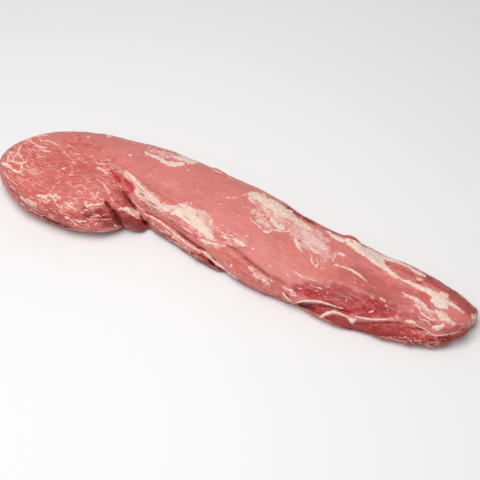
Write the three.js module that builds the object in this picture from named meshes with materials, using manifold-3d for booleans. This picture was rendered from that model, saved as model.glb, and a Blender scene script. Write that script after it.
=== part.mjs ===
// A whole raw beef tenderloin, lying on its flat side: a broad oval head, a long loin that narrows to a blunt
// tail, the chain muscle along its near side with a low strand under it, a small lobe in the cleft behind the
// head, and the thin under layer that shows below the tail. It is one piece of meat, so all of them are joined
// into one solid, and the clefts between them are cut into it.
// Millimetres. +X runs from the head to the tail, +Y to the smooth far side, +Z up.
import * as THREE from "three";
import { ImprovedNoise } from "three/addons/math/ImprovedNoise.js";
import { mergeVertices } from "three/addons/utils/BufferGeometryUtils.js";
import Module from "manifold-3d";

const wasm = await Module();
wasm.setup();

// Driving dimensions
const HEAD_THICKNESS = 53;
const LOIN_THICKNESS = 47;
const TAIL_THICKNESS = 37;
const CHAIN_THICKNESS = 36;
const LOW_STRAND_THICKNESS = 29;
const UNDER_LAYER_THICKNESS = 26;
const HEAD_END_RADIUS = 54; // how far in from its end the head reaches its full height
const TAIL_END_RADIUS = 24;
const STRAND_END_RADIUS = 12;
const LOBE_RADIUS = 15.5;
const CLEFT_RADIUS = 4.5; // half the width of the clefts on either side of the lobe
const SEAM_RADIUS = 2.6; // half the width of the furrows between the muscles
const FAT_STRIP_RADIUS = 7;
const FAT_LUMP_RADIUS = 9;
const WIDEST_AT = 0.4; // share of the thickness at which a muscle is widest
const FLAT_REST = 1.12; // how far the round underside would reach below the floor, as a share
const UNEVENNESS = 1.4; // swell of the surface
const SWELL_LENGTH = 34;

// One row for each place along a muscle: [far x, far y, near x, near y, thickness]. The first and last rows are
// its tips.
const LOIN = [
  [-298, 0, -298, 0, 0.84 * HEAD_THICKNESS],
  [-296, 10, -293, -13, 0.88 * HEAD_THICKNESS],
  [-286, 30, -280, -28, 0.92 * HEAD_THICKNESS],
  [-264, 54, -256, -43, 0.97 * HEAD_THICKNESS],
  [-234, 71, -225, -53, HEAD_THICKNESS],
  [-202, 79, -192, -55, HEAD_THICKNESS],
  [-169, 84, -162, -51, 0.98 * HEAD_THICKNESS],
  [-140, 86, -138, -37, 0.97 * HEAD_THICKNESS],
  [-109, 84, -114, -8, 0.95 * HEAD_THICKNESS],
  [-78, 81, -88, 3, 1.03 * LOIN_THICKNESS],
  [-40, 76, -54, -9, LOIN_THICKNESS],
  [-2, 71, -18, -23, LOIN_THICKNESS],
  [42, 59, 32, -39, 0.97 * LOIN_THICKNESS],
  [85, 49, 79, -53, 0.9 * LOIN_THICKNESS],
  [118, 45, 120, -50, 1.12 * TAIL_THICKNESS],
  [148, 39, 151, -53, 1.04 * TAIL_THICKNESS],
  [182, 36, 186, -42, TAIL_THICKNESS],
  [217, 28, 220, -41, 0.97 * TAIL_THICKNESS],
  [248, 16, 248, -32, 0.92 * TAIL_THICKNESS],
  [264, 6, 264, -16, 0.85 * TAIL_THICKNESS],
  [271, -5, 271, -5, 0.8 * TAIL_THICKNESS],
];
const CHAIN = [
  [-158, 30, -158, 30, 1.5 * CHAIN_THICKNESS],
  [-138, 27, -134, 10, 1.49 * CHAIN_THICKNESS],
  [-116, 18, -116, -4, 1.46 * CHAIN_THICKNESS],
  [-96, 13, -98, -10, 1.4 * CHAIN_THICKNESS],
  [-72, 6, -76, -16, 1.35 * CHAIN_THICKNESS],
  [-48, 0, -52, -25, 1.28 * CHAIN_THICKNESS],
  [-22, -8, -25, -32, 1.16 * CHAIN_THICKNESS],
  [0, -12, -3, -38, 1.05 * CHAIN_THICKNESS],
  [24, -16, 21, -46, CHAIN_THICKNESS],
  [44, -24, 43, -50, 0.94 * CHAIN_THICKNESS],
  [66, -30, 66, -50, 0.86 * CHAIN_THICKNESS],
  [84, -34, 84, -50, 0.74 * CHAIN_THICKNESS],
  [96, -42, 96, -42, 0.6 * CHAIN_THICKNESS],
];
const LOW_STRAND = [
  [-122, 4, -122, 4, 0.9 * LOW_STRAND_THICKNESS],
  [-107, 9, -103, -13, 1.1 * LOW_STRAND_THICKNESS],
  [-86, 4, -84, -20, 1.04 * LOW_STRAND_THICKNESS],
  [-66, -2, -66, -25, LOW_STRAND_THICKNESS],
  [-42, -12, -41, -33, 0.9 * LOW_STRAND_THICKNESS],
  [-24, -18, -24, -36, 0.76 * LOW_STRAND_THICKNESS],
  [-8, -24, -8, -38, 0.6 * LOW_STRAND_THICKNESS],
  [6, -34, 6, -34, 0.5 * LOW_STRAND_THICKNESS],
];
const UNDER_LAYER = [
  [70, -34, 70, -34, 0.8 * UNDER_LAYER_THICKNESS],
  [88, -15, 85, -51, UNDER_LAYER_THICKNESS],
  [112, -10, 111, -58, 1.05 * UNDER_LAYER_THICKNESS],
  [138, -10, 137, -60, UNDER_LAYER_THICKNESS],
  [164, -10, 164, -57, UNDER_LAYER_THICKNESS],
  [196, -8, 196, -56, 1.05 * UNDER_LAYER_THICKNESS],
  [220, -8, 220, -51, UNDER_LAYER_THICKNESS],
  [242, -8, 242, -41, 0.95 * UNDER_LAYER_THICKNESS],
  [255, -8, 255, -23, 0.85 * UNDER_LAYER_THICKNESS],
  [262, -12, 262, -12, 0.8 * UNDER_LAYER_THICKNESS],
];

// Paths on and near the surface: [x, y, z].
const LOBE = [
  [-158, 2, 43],
  [-151, -6, 40],
  [-142, -11, 35],
  [-133, -12, 27],
  [-125, -12, 17],
  [-118, -11, 5],
  [-114, -9, -8],
];
const HEAD_CLEFT = [
  [-164, 2, 53],
  [-159, -14, 51],
  [-153, -23, 48],
  [-146, -27, 44],
  [-139, -29, 38],
  [-134, -30, 30],
  [-131, -29, 20],
  [-130, -27, 9],
  [-130, -25, -3],
];
const LOIN_CLEFT = [
  [-152, 8, 53],
  [-143, -2, 51],
  [-136, -6, 49],
  [-129, -10, 43],
  [-121, -13, 35],
  [-115, -14, 25],
  [-110, -14, 14],
];
const CHAIN_FURROW = [
  [-117, -11, 34],
  [-97, -13, 32],
  [-81, -18, 29],
  [-64, -24, 27],
  [-50, -30, 25],
  [-36, -34, 22],
  [-20, -40, 17],
];
const LOIN_SEAM = [
  [-20, -22, 44],
  [-6, -23, 39],
  [12, -28, 37],
  [33, -37, 34],
  [45, -43, 32],
  [60, -48, 29],
  [76, -54, 25],
];
const TAIL_SLIT = [
  [88, -56, 27],
  [104, -53, 27],
  [122, -51, 27],
  [140, -54, 26],
  [154, -54, 26],
  [168, -51, 26],
  [184, -44, 26],
  [200, -42, 26],
  [216, -43, 25],
  [232, -39, 24],
  [246, -31, 23],
  [258, -20, 21],
];
const FAT_STRIP = [
  [118, 28, 34],
  [134, 17, 36],
  [151, 9, 35],
  [170, 4, 35],
  [187, 2, 35],
  [203, 4, 34],
  [221, 1, 33],
  [237, -3, 32],
  [254, -9, 29],
];
const FAT_LUMP = [
  [100, 34, 32],
  [117, 31, 34],
  [132, 23, 33],
];

// A geometry made by moving every point of a unit sphere: place(along, out) gives the new point, where along is
// the share of the way from one pole to the other, and out is the point's direction within its ring.
function reshape(rings, around, place) {
  const geometry = new THREE.SphereGeometry(1, around, rings);
  const position = geometry.getAttribute("position");
  for (let i = 0; i < position.count; i++) {
    const p = new THREE.Vector3().fromBufferAttribute(position, i);
    const along = Math.acos(THREE.MathUtils.clamp(p.y, -1, 1)) / Math.PI;
    const at = place(along, new THREE.Vector2(-p.z, p.x));
    position.setXYZ(i, at.x, at.y, at.z);
  }
  return geometry;
}

const noise = new ImprovedNoise();

function swellAt({ x, y, z }) {
  return UNEVENNESS * noise.noise(x / SWELL_LENGTH, y / SWELL_LENGTH, z / SWELL_LENGTH);
}

// A muscle: rings of points between its far and near edges, domed above and flat where it rests.
function muscle(rows, { rings, around, dome, ends }) {
  const far = new THREE.CatmullRomCurve3(rows.map(([x, y]) => new THREE.Vector3(x, y, 0)));
  const near = new THREE.CatmullRomCurve3(rows.map(([, , x, y]) => new THREE.Vector3(x, y, 0)));
  const thickness = new THREE.CatmullRomCurve3(rows.map((row, i) => new THREE.Vector3(i, row[4], 0)));
  const rounded = (value) => Math.sign(value) * Math.abs(value) ** (2 / dome);
  return reshape(rings, around, (along, out) => {
    const [a, b, height] = [far.getPoint(along), near.getPoint(along), thickness.getPoint(along).y];
    const angle = out.angle();
    const [across, up] = [rounded(Math.cos(angle)), rounded(Math.sin(angle))];
    const width = a.distanceTo(b) / 2;
    const rim = 1 - Math.min(1, width / THREE.MathUtils.lerp(ends[0], ends[1], along));
    const plump = Math.sqrt(1 - rim * rim);
    const belly = WIDEST_AT * height;
    const reach = up > 0 ? height - belly : FLAT_REST * belly;
    const side = a.clone().sub(b).normalize();
    const at = a.add(b).divideScalar(2).addScaledVector(side, across * width);
    at.z = belly + up * plump * reach;
    return at.addScaledVector(side.multiplyScalar(across).setZ(up), swellAt(at) * plump);
  });
}

// A strand along a path, round in section or flattened, and pointed at both ends.
function strand(points, radius, { rings = 20, around = 8, flat = 1, taper = 0.6 } = {}) {
  const path = new THREE.CatmullRomCurve3(points.map((point) => new THREE.Vector3(...point)));
  return reshape(rings, around, (along, out) => {
    const tangent = path.getTangent(along);
    const side = new THREE.Vector3(-tangent.y, tangent.x, 0).normalize();
    const lift = tangent.clone().cross(side);
    const size = radius * out.length() ** taper;
    out.normalize();
    return path
      .getPoint(along)
      .addScaledVector(side, out.x * size)
      .addScaledVector(lift, out.y * size * flat);
  });
}

// The solid inside a closed geometry.
function solid(geometry) {
  geometry.deleteAttribute("normal");
  geometry.deleteAttribute("uv");
  const merged = mergeVertices(geometry, 1e-3);
  return new wasm.Manifold(
    new wasm.Mesh({
      numProp: 3,
      vertProperties: merged.getAttribute("position").array,
      triVerts: new Uint32Array(merged.index.array),
    }),
  );
}

function geometryOf(manifold) {
  const { vertProperties, triVerts } = manifold.getMesh();
  return new THREE.BufferGeometry()
    .setAttribute("position", new THREE.BufferAttribute(new Float32Array(vertProperties), 3))
    .setIndex(new THREE.BufferAttribute(new Uint32Array(triVerts), 1));
}

function tenderloin() {
  const strandEnds = [STRAND_END_RADIUS, STRAND_END_RADIUS];
  const joined = [
    muscle(LOIN, { rings: 94, around: 34, dome: 2.3, ends: [HEAD_END_RADIUS, TAIL_END_RADIUS] }),
    muscle(CHAIN, { rings: 46, around: 14, dome: 2.2, ends: strandEnds }),
    muscle(LOW_STRAND, { rings: 28, around: 12, dome: 2.2, ends: strandEnds }),
    muscle(UNDER_LAYER, { rings: 42, around: 12, dome: 2.1, ends: strandEnds }),
    strand(LOBE, LOBE_RADIUS, { rings: 18, around: 14 }),
    strand(FAT_STRIP, FAT_STRIP_RADIUS, { flat: 0.6 }),
    strand(FAT_LUMP, FAT_LUMP_RADIUS, { rings: 12, flat: 0.6 }),
  ];
  const cut = [
    strand(HEAD_CLEFT, CLEFT_RADIUS),
    strand(LOIN_CLEFT, CLEFT_RADIUS),
    strand(CHAIN_FURROW, SEAM_RADIUS),
    strand(LOIN_SEAM, SEAM_RADIUS),
    strand(TAIL_SLIT, SEAM_RADIUS, { rings: 30 }),
  ];
  const whole = joined.map(solid).reduce((all, part) => all.add(part));
  const cleft = cut.map(solid).reduce((all, part) => all.subtract(part), whole);
  const geometry = geometryOf(cleft.trimByPlane([0, 0, 1], 0));
  geometry.computeBoundingBox();
  const centre = geometry.boundingBox.getCenter(new THREE.Vector3());
  geometry.translate(-centre.x, -centre.y, -geometry.boundingBox.min.z);
  return geometry;
}

const rawBeef = new THREE.MeshStandardMaterial({ color: 0xb9504c, roughness: 0.45, metalness: 0 });
const meat = new THREE.Mesh(tenderloin(), rawBeef);
meat.name = "tenderloin";

const beefTenderloin = new THREE.Group();
beefTenderloin.name = "beef_tenderloin";
beefTenderloin.add(meat);

export default beefTenderloin;
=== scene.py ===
"""Dresses the raw whole beef tenderloin in marbled muscle, fat, film, red cuts, clefts with painted shade and
loose shreds.

Everything is in metres, in the frame of the solid that it covers. A mark that belongs to one place on the
meat is given as points (x, y, half width) in pixels of the 480 x 480 picture. Each point is cast from the
camera onto the surface, so the mark lies on the meat, seen from any side.
"""

import math
import random

import bmesh
import bpy
import numpy as np
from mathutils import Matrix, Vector
from mathutils.bvhtree import BVHTree


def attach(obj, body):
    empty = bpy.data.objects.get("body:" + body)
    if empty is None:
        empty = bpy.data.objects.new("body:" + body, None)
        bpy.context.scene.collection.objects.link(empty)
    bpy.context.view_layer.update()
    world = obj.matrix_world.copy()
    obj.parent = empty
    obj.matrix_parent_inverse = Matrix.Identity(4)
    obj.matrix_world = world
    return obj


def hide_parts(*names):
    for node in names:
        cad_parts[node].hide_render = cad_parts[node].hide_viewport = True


bl_info = {
    "name": "Raw beef tenderloin",
    "version": (1, 0, 0),
    "blender": (4, 5, 0),
    "location": "View3D > Sidebar > Tenderloin",
    "description": "Builds a raw whole beef tenderloin around its packed solid",
    "category": "Object",
}

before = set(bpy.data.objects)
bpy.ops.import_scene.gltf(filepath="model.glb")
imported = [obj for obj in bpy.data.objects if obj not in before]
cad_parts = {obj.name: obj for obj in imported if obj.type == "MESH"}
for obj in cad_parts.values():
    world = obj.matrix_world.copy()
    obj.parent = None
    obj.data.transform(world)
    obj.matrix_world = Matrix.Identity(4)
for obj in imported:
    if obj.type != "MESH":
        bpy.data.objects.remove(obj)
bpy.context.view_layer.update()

NODE = "tenderloin"
BODY = "root"
MM = 0.001
# The picture's side and the rows of it that show the meat, in pixels, and the camera's sensor in millimetres.
PICTURE = 480
TOP_ROW, BOTTOM_ROW = 128, 352
SENSOR = 36.0
# The kinds of tones and marks that every point of the meat has a strength of. The dark kind is painted
# shade, the crevice kind a groove darkened with painted shade, and deep and rust are partly painted shade.
KINDS = ("head", "deep", "blood", "salmon", "rust", "dark", "stringy", "fat", "membrane", "cell", "crevice")

# Swells and dips that are moved towards the camera: height in millimetres, edge softness in pixels, points.
FORMS = (
    (-3.0, 2.4, ((105.5, 202.5, 0.5), (108, 206, 0.6), (112, 211, 0.8), (116, 217, 1.2), (120, 223, 1.6),
                 (124, 229, 2))),
    (-2.4, 2.8, ((118, 183, 0.3), (123, 191, 0.4), (129, 201, 0.6), (133, 206, 0.8), (137, 211, 0.6))),
    (-2.4, 3, ((140.5, 216, 0.6), (143, 220, 1), (147, 224, 1))),
    (2.2, 12, ((122, 213, 3), (133, 221, 4))),
    (1.4, 9, ((127, 176, 2), (139, 190, 2.5), (152, 200, 3), (166, 211, 3))),
    (1.1, 8, ((134, 170, 1), (144, 180, 1.5), (155, 190, 1.5), (166, 199, 1.5))),
    (-4.4, 10, ((168, 205, 1.5), (178, 210, 2.5), (188, 215.5, 3), (197, 223, 3), (205, 231, 2))),
    (4.6, 9, ((165.5, 196.5, 1), (177, 203, 2), (186, 208, 2), (194, 213, 2), (202, 220, 1))),
    (1.6, 6, ((155, 187.5, 1), (165, 196, 1), (177, 203, 1.5), (187, 208, 1.5), (196, 214, 1.5),
              (203, 221, 1), (209, 228, 1))),
    (1.4, 5, ((146, 221, 1.5), (160, 229, 2), (176, 241, 2), (192, 252, 2))),
    (-2.3, 3, ((158, 218.5, 0.1), (170, 225.5, 0.4), (180, 232.5, 0.8), (190, 241, 1), (200, 247.5, 0.9),
               (206, 251, 0.6))),
    (1.0, 5, ((152, 208, 1.5), (166, 216, 2), (182, 226, 2.5), (197, 236, 2.5))),
    (1.3, 12, ((176, 227, 3), (200, 243, 4), (225, 256, 5), (245, 269, 5), (265, 282, 4))),
    (-1.7, 2.8, ((226, 244.5, 0.3), (236, 249, 0.6), (244, 256, 0.7), (252, 263, 0.7), (262, 271, 0.7),
                 (272, 278, 0.6), (284, 284, 0.5))),
    (1.0, 4, ((221, 233, 1), (232, 238.5, 1.5), (243, 244, 1))),
    (1.4, 5, ((284, 290, 2), (291, 295, 2))),
    (1.0, 4, ((295, 302, 0.8), (310, 299, 1.4), (328, 301, 1.4), (342, 306, 0.8))),
    (-3.2, 1.6, ((299, 305.5, 0.8), (306, 307.5, 2.6), (313, 309.5, 4.4), (321, 310.5, 5),
                 (330, 308.6, 2.6), (340, 310.8, 1.4), (348, 313, 0.6))),
    (1.0, 4, ((322, 313.5, 0.8), (335, 311, 1), (348, 315.5, 1))),
    (-3.2, 1.6, ((327, 318.5, 1.5), (334, 319.5, 3.6), (342, 322.5, 5), (350, 327, 5), (360, 328, 6),
                 (372, 329.5, 6.2), (385, 330, 7.4), (398, 331, 8.4), (408, 334.5, 7.6), (418, 338, 6.4),
                 (428, 341, 4.4), (436, 343, 2.6))),
    (1.2, 4, ((357, 315.5, 0.8), (375, 318, 0.8), (400, 317, 0.8), (412, 321, 1.4))),
    (-2.2, 1.6, ((440, 338.5, 1.4), (450, 338.5, 2.4), (460, 337, 3), (470, 332, 2))),
    (1.1, 4, ((346, 240, 2), (358, 248, 2.6), (370, 258, 2.6), (385, 268, 2.2), (400, 278, 1.8),
              (420, 287, 2.2), (440, 297, 2.6), (455, 306, 1.4))),
    (-1.2, 4, ((389, 264.5, 1.5), (400, 269, 3), (411, 274, 2.6))),
    (1.0, 5, ((436, 301, 3.5), (443, 305, 3))),
    (0.8, 4, ((440, 314, 2), (448, 319, 2.5), (438, 327, 2.5))),
    (-0.8, 6, ((405, 300, 2), (418, 308, 2.5), (430, 318, 2))),
    (-0.9, 10, ((305, 289, 5), (330, 294, 7), (360, 301, 7), (385, 308, 5))),
    (0.8, 4, ((336, 264, 0.8), (350, 268, 1.2), (362, 276, 1.2))),
    (-0.7, 12, ((262, 215, 5), (280, 224, 6), (305, 240, 7))),
    (0.7, 5, ((38, 197, 3), (50, 198, 3.5), (60, 206, 3))),
    (-0.6, 5, ((22, 190, 2), (34, 193, 2.5))),
)
# Lumps and hollows that stand out from the surface, also at the outline.
BULGES = (
    (1.0, 8, ((350, 238.5, 2), (358, 243.5, 1.5))),
    (0.9, 7, ((427, 276.5, 2), (438, 281, 2))),
    (-0.9, 6, ((458, 292, 2), (466, 299, 1.5))),
    (2.4, 5, ((473, 310, 1.5), (477.5, 314.5, 1.2))),
    (-4.5, 11, ((476, 322, 2), (472, 329, 2), (466, 335, 1))),
    (1.2, 3, ((350, 319.5, 1.2), (353, 320.8, 1.6))),
    (0.9, 4, ((214, 265, 1.2),)),
    (0.8, 4, ((197, 257, 1.2),)),
    (-0.9, 4, ((222, 271, 1.2),)),
    (0.8, 4, ((237, 280, 1.2),)),
    (-0.8, 5, ((245, 285, 1.5),)),
    (0.8, 5, ((262, 293, 1.5),)),
    (0.9, 5, ((142, 229, 2),)),
    (0.7, 6, ((104, 135, 2),)),
    (-0.7, 6, ((122, 137, 2),)),
    (0.5, 7, ((300, 213, 1.5), (309, 218, 1.5))),
    (1.6, 5, ((216, 170, 2), (223, 173.5, 1.5))),
    (-1.8, 7, ((34, 212.5, 2), (46, 219.5, 2), (60, 225.5, 2))),
    (-1.5, 6, ((222, 272, 1.5), (232, 279, 1.5), (240, 284, 1.5))),
    (-0.6, 6, ((324, 227, 1.5), (334, 231, 1.5))),
)

# Broad tones of the meat: kind, strength, edge softness and raggedness in pixels, then the points.
# The dark tones are painted shade; the deep tones are partly painted shade, as marked below.
TONES = (
    ("head", 1.0, 16, 8, ((20, 165, 30), (60, 180, 44), (90, 190, 42))),
    ("head", 0.6, 12, 4, ((75, 140, 14), (96, 148, 10))),
    ("head", 0.8, 8, 4, ((225, 254, 5), (245, 270, 9), (262, 285, 9), (285, 293, 6))),
    ("head", 0.9, 4, 2, ((148, 224, 3), (162, 233, 4), (178, 245, 4), (194, 255, 4))),
    ("salmon", 0.5, 5, 3, ((66, 146, 3), (73, 146, 3.5))),
    ("salmon", 0.4, 5, 3, ((48, 174, 3), (57, 176, 3))),
    ("salmon", 0.8, 3, 1.5, ((33, 139.5, 2.2), (36, 142, 2.6))),
    ("salmon", 1.0, 2.5, 1, ((13.5, 165.5, 1.8), (18, 168, 1.8))),
    ("salmon", 0.5, 6, 4, ((84, 150, 3), (92, 158, 3))),
    ("salmon", 0.5, 5, 3, ((20, 181, 2), (34, 190, 3))),
    ("salmon", 0.4, 5, 3, ((40, 153, 2.5), (56, 158, 3))),
    ("salmon", 0.65, 6, 3, ((226, 258, 3), (236, 267, 4), (234, 273, 3))),
    ("salmon", 0.6, 4, 2, ((290, 233, 1.5), (293, 240, 2), (298, 248, 2))),
    ("salmon", 0.45, 5, 3, ((312, 266, 3), (328, 270, 4), (320, 276, 4))),
    ("salmon", 0.9, 4, 3, ((341, 287, 2.5), (348, 290, 3.2), (353, 294, 2))),
    ("salmon", 0.3, 4, 3, ((356, 305, 2), (364, 308, 2.5), (372, 312, 2))),
    ("salmon", 0.9, 2.5, 1, ((315, 315, 1), (320, 314.5, 1.6), (325, 312.5, 1.2), (330, 309.5, 0.6))),
    ("salmon", 0.9, 3, 1.5, ((419, 296, 1.5), (426, 298, 2.5), (431, 301, 2))),
    ("salmon", 0.5, 4, 2, ((398, 313, 2), (412, 317, 2))),
    ("salmon", 0.7, 3, 1.5, ((409, 330, 2), (420, 335, 2.5), (431, 339, 2))),
    ("deep", 0.5, 4, 3, ((26, 147, 1.5), (30, 153, 2.5), (34, 157, 2))),
    ("deep", 0.3, 6, 4, ((62, 152, 2), (78, 142, 2.5), (96, 150, 2.5))),
    ("deep", 0.35, 6, 3, ((60, 168, 2), (80, 167, 2.5), (92, 172, 2))),
    # Deep red on the head's lower side, partly painted shade.
    ("deep", 1.0, 7, 4, ((86, 213, 5), (100, 215, 8), (114, 221, 9))),
    ("deep", 0.55, 8, 5, ((44, 206, 4), (62, 216, 5), (84, 220, 6))),
    # Painted shade on the head's lower side and rim, and over the tail's recessed under layer.
    ("dark", 0.36, 7, 3, ((86, 213, 4), (100, 215, 7), (112, 221, 7))),
    ("dark", 0.26, 8, 3, ((12, 188, 4), (24, 201, 5), (38, 210, 5), (60, 219, 4))),
    ("dark", 0.2, 6, 2, ((300, 309, 3), (322, 313, 4), (345, 326, 5), (372, 330, 6), (400, 334, 6))),
    ("dark", 0.1, 10, 4, ((312, 291, 6), (335, 295, 9), (358, 301, 8), (385, 308, 6))),
    # Deep red along the head's low rim, on the lobe's side and beneath the tail's lips is partly painted
    # shade; elsewhere below it is the meat's own darker red.
    ("deep", 0.55, 4, 3, ((4, 176, 2), (10, 189, 2.5), (22, 205, 2.5), (40, 217, 2.5), (62, 226, 2.5),
                          (90, 231, 2.5))),
    ("deep", 0.75, 4, 2.5, ((110, 194, 2), (117, 202, 3.6), (124, 206, 3))),
    ("deep", 0.6, 4, 2, ((110, 185, 2), (118, 194, 4), (126, 204, 3.4))),
    ("deep", 1.0, 4, 2, ((119, 214, 5), (128, 222, 9), (140, 226, 8))),
    ("deep", 0.5, 3, 2, ((150, 207, 1.5), (160, 212, 2.5), (170, 217, 2.5))),
    ("deep", 0.45, 3, 2, ((172, 221, 2), (185, 230, 3), (197, 238, 2.5))),
    ("deep", 0.8, 3, 2, ((150, 228, 1.2), (164, 238, 1.8), (178, 247.5, 2.3), (192, 256, 2.8),
                         (206, 263.5, 3))),
    ("deep", 0.95, 3, 1, ((196, 254, 1.6), (205, 259, 3), (214, 265, 2.6))),
    ("deep", 0.8, 3, 1, ((240, 280, 1.2), (252, 288, 1.8), (264, 293.5, 2), (280, 297, 1.8))),
    ("deep", 1.0, 8, 5, ((297, 286, 4), (312, 291, 8), (335, 295, 11), (358, 301, 10), (385, 308, 8),
                         (405, 316, 4))),
    ("deep", 0.45, 14, 5, ((345, 276, 12), (385, 290, 14), (420, 300, 10))),
    ("deep", 0.7, 7, 5, ((378, 303, 6), (394, 308, 5), (408, 313, 4), (420, 318, 3))),
    ("deep", 1.0, 4, 2, ((322, 302, 2), (338, 305, 3.5), (352, 309, 4.5), (368, 313, 4), (384, 315, 3))),
    ("deep", 0.55, 2.5, 1, ((386, 263.5, 1.4), (396, 266.5, 2.8), (404, 270, 3.4), (411, 274, 3),
                            (415, 277, 1.5))),
    ("deep", 0.75, 3, 1.5, ((416, 300, 1.5), (427, 308, 3), (436, 317, 2.5))),
    ("deep", 1.0, 1.6, 0.6, ((298, 305, 1.4), (306, 307.5, 3.2), (313, 309.5, 5), (321, 310.5, 5.6),
                             (330, 308.6, 3), (340, 310.8, 1.8), (350, 313.5, 1))),
    ("deep", 1.0, 1.6, 0.6, ((327, 318.5, 2), (334, 319.5, 4.2), (342, 322.5, 5.6), (350, 327, 5.6),
                             (360, 328, 6.6), (372, 329.5, 7), (385, 330, 8), (398, 331, 9),
                             (408, 334.5, 8), (418, 338, 7), (428, 341, 5), (436, 343, 3.4))),
    ("deep", 1.0, 2, 1, ((440, 338.5, 2), (450, 338.5, 3), (460, 337, 3.6), (470, 331, 3), (475, 325, 2))),
    ("deep", 0.75, 5, 2, ((426, 279, 4), (445, 289, 6), (462, 302, 7), (470, 312, 5))),
    ("deep", 0.5, 4, 2, ((424, 318, 3), (446, 332, 3), (460, 327, 3))),
    ("deep", 0.7, 2, 0.5, ((286, 294.5, 1.3), (289, 297, 1))),
    ("deep", 0.85, 3, 1.5, ((282, 205.5, 1.2), (296, 213, 2.2), (310, 221, 2.2), (322, 228, 1.8))),
    ("salmon", 0.7, 3, 2, ((202, 166, 1.2), (215, 171, 2), (229, 178, 2))),
    ("blood", 0.6, 5, 3, ((301, 291, 2.5), (312, 293.5, 4), (326, 297, 3))),
    ("blood", 0.9, 3, 1.5, ((111, 170, 0.8), (114, 173.5, 1.6), (118, 178.5, 3), (121, 182, 2.6))),
    ("blood", 0.6, 3, 1.5, ((119, 174, 1), (122, 178, 1.6), (126, 183, 1.8))),
    ("blood", 1.0, 3, 1.5, ((124, 179, 1.4), (128.5, 183.5, 2.8), (131.5, 188, 3.4), (131, 192, 2.2))),
    ("blood", 0.35, 3, 1, ((292.5, 236, 1.2), (294, 240, 1))),
    ("blood", 0.6, 5, 3, ((352, 308, 2), (372, 312, 3), (394, 315, 2.5))),
    ("rust", 0.6, 2.5, 1, ((176, 230, 1.2), (188, 240, 1.8), (200, 248, 1.5))),
    ("rust", 0.9, 3, 1.5, ((216, 264.5, 1.8), (226, 272, 2.3), (236, 278.5, 2.2), (243, 283, 1.4))),
    ("rust", 0.5, 2.5, 1.5, ((146, 223, 1.5), (160, 233, 2), (176, 245, 2), (192, 255, 2), (206, 263, 2))),
    # Painted shade: the brownish shade below the chain's groove, laid in the rust colour.
    ("rust", 0.5, 3, 1.5, ((250, 261, 1), (258, 268, 1.4), (266, 274, 1.8), (276, 280, 2.2),
                           (288, 286, 1.8), (297, 291, 1))),
    ("rust", 0.85, 3, 1.5, ((284, 204, 1), (296, 211, 1.8), (306, 217, 2.2), (318, 224, 1.6))),
    ("rust", 0.7, 5, 2, ((426, 276, 3), (440, 282, 4), (454, 293, 4), (468, 305, 4), (475, 314, 3))),
    # Painted shade: along the head's low rim, in and beside the clefts, on the lobe's side, in the chain's
    # grooves, beneath the tail's lips and along its lower and far edges.
    ("dark", 0.9, 3.5, 1, ((22, 203, 0.9), (30, 209.6, 1.6), (40, 215.8, 2.2), (50, 220.5, 2.7),
                           (60, 224.5, 2.6), (70, 227.5, 1.4))),
    ("dark", 0.6, 3, 1, ((6, 181.5, 1), (11, 188, 1.3), (19, 197.5, 1.5), (28, 206.5, 1.4), (38, 213, 1))),
    ("dark", 0.45, 2.5, 1, ((70, 228, 0.8), (90, 232, 1), (112, 232.5, 1))),
    ("dark", 0.45, 1.5, 0.5, ((106, 203, 0.9), (109.5, 208, 0.5), (113, 213, 0.8), (116.5, 219, 1.3),
                              (120, 226, 1.9))),
    ("dark", 0.45, 4, 2, ((116, 212, 1), (120, 219, 2.5), (127, 228, 4))),
    ("dark", 0.42, 6, 2, ((130, 222, 5), (142, 226, 4))),
    ("dark", 0.5, 1.4, 0.5, ((119, 184, 0.2), (124, 192, 0.4), (130, 202, 0.8), (135, 208, 0.9))),
    ("dark", 0.8, 1.5, 0.5, ((140, 216.5, 0.6), (143, 220.5, 1), (147.5, 224.5, 1))),
    ("dark", 0.6, 1.6, 1, ((162, 221, 0.1), (170, 225.5, 0.3), (180, 232.5, 0.7), (190, 241, 1.2),
                           (200, 247.5, 1.1), (206, 251, 0.8))),
    ("dark", 0.8, 2.5, 1, ((200, 255, 1.3), (207, 260, 2.2), (214, 265, 2))),
    ("dark", 0.75, 2.5, 1.2, ((217, 267.5, 1.2), (226, 274.5, 1.5), (236, 281, 1.4), (243, 285, 1.1))),
    ("dark", 0.5, 2, 0.8, ((240, 281.6, 0.8), (252, 289.4, 1), (266, 294.5, 1), (282, 298.4, 0.8))),
    ("dark", 0.6, 2.5, 1.2, ((150, 228.6, 1), (170, 242.5, 1.4), (190, 254.4, 1.6), (205, 263.4, 1.5))),
    ("dark", 0.4, 1.5, 0.8, ((183, 240.5, 0.6), (190, 246, 0.9), (196, 250.5, 0.8))),
    ("dark", 0.4, 1.5, 0.8, ((188, 251, 0.6), (196, 255, 1), (202, 259, 0.8))),
    ("dark", 0.35, 1.6, 0.5, ((228, 245.5, 0.2), (236, 249, 0.5), (244, 256, 0.6), (252, 263, 0.6),
                              (262, 271, 0.5), (270, 277, 0.2))),
    ("dark", 0.9, 2, 0.8, ((296, 304.6, 0.8), (303, 305.6, 2), (309, 307.5, 2.6), (314, 309.5, 1.6))),
    ("dark", 0.6, 1.8, 0.6, ((311, 304.5, 1.2), (320, 305.6, 1.3), (331, 307.8, 1.2), (341, 311, 0.8))),
    ("dark", 0.5, 1.5, 0.5, ((326, 318, 0.4), (333, 315.2, 0.8), (342, 317.4, 0.8), (350, 321.4, 0.7))),
    ("dark", 0.5, 1.5, 0.5, ((358, 320.6, 0.6), (372, 322.4, 0.9), (388, 322, 0.8), (402, 321.8, 0.6))),
    ("dark", 0.25, 3, 1.5, ((345, 328, 1), (365, 333, 1.5), (385, 336, 1.5), (405, 339, 1.5))),
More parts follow.
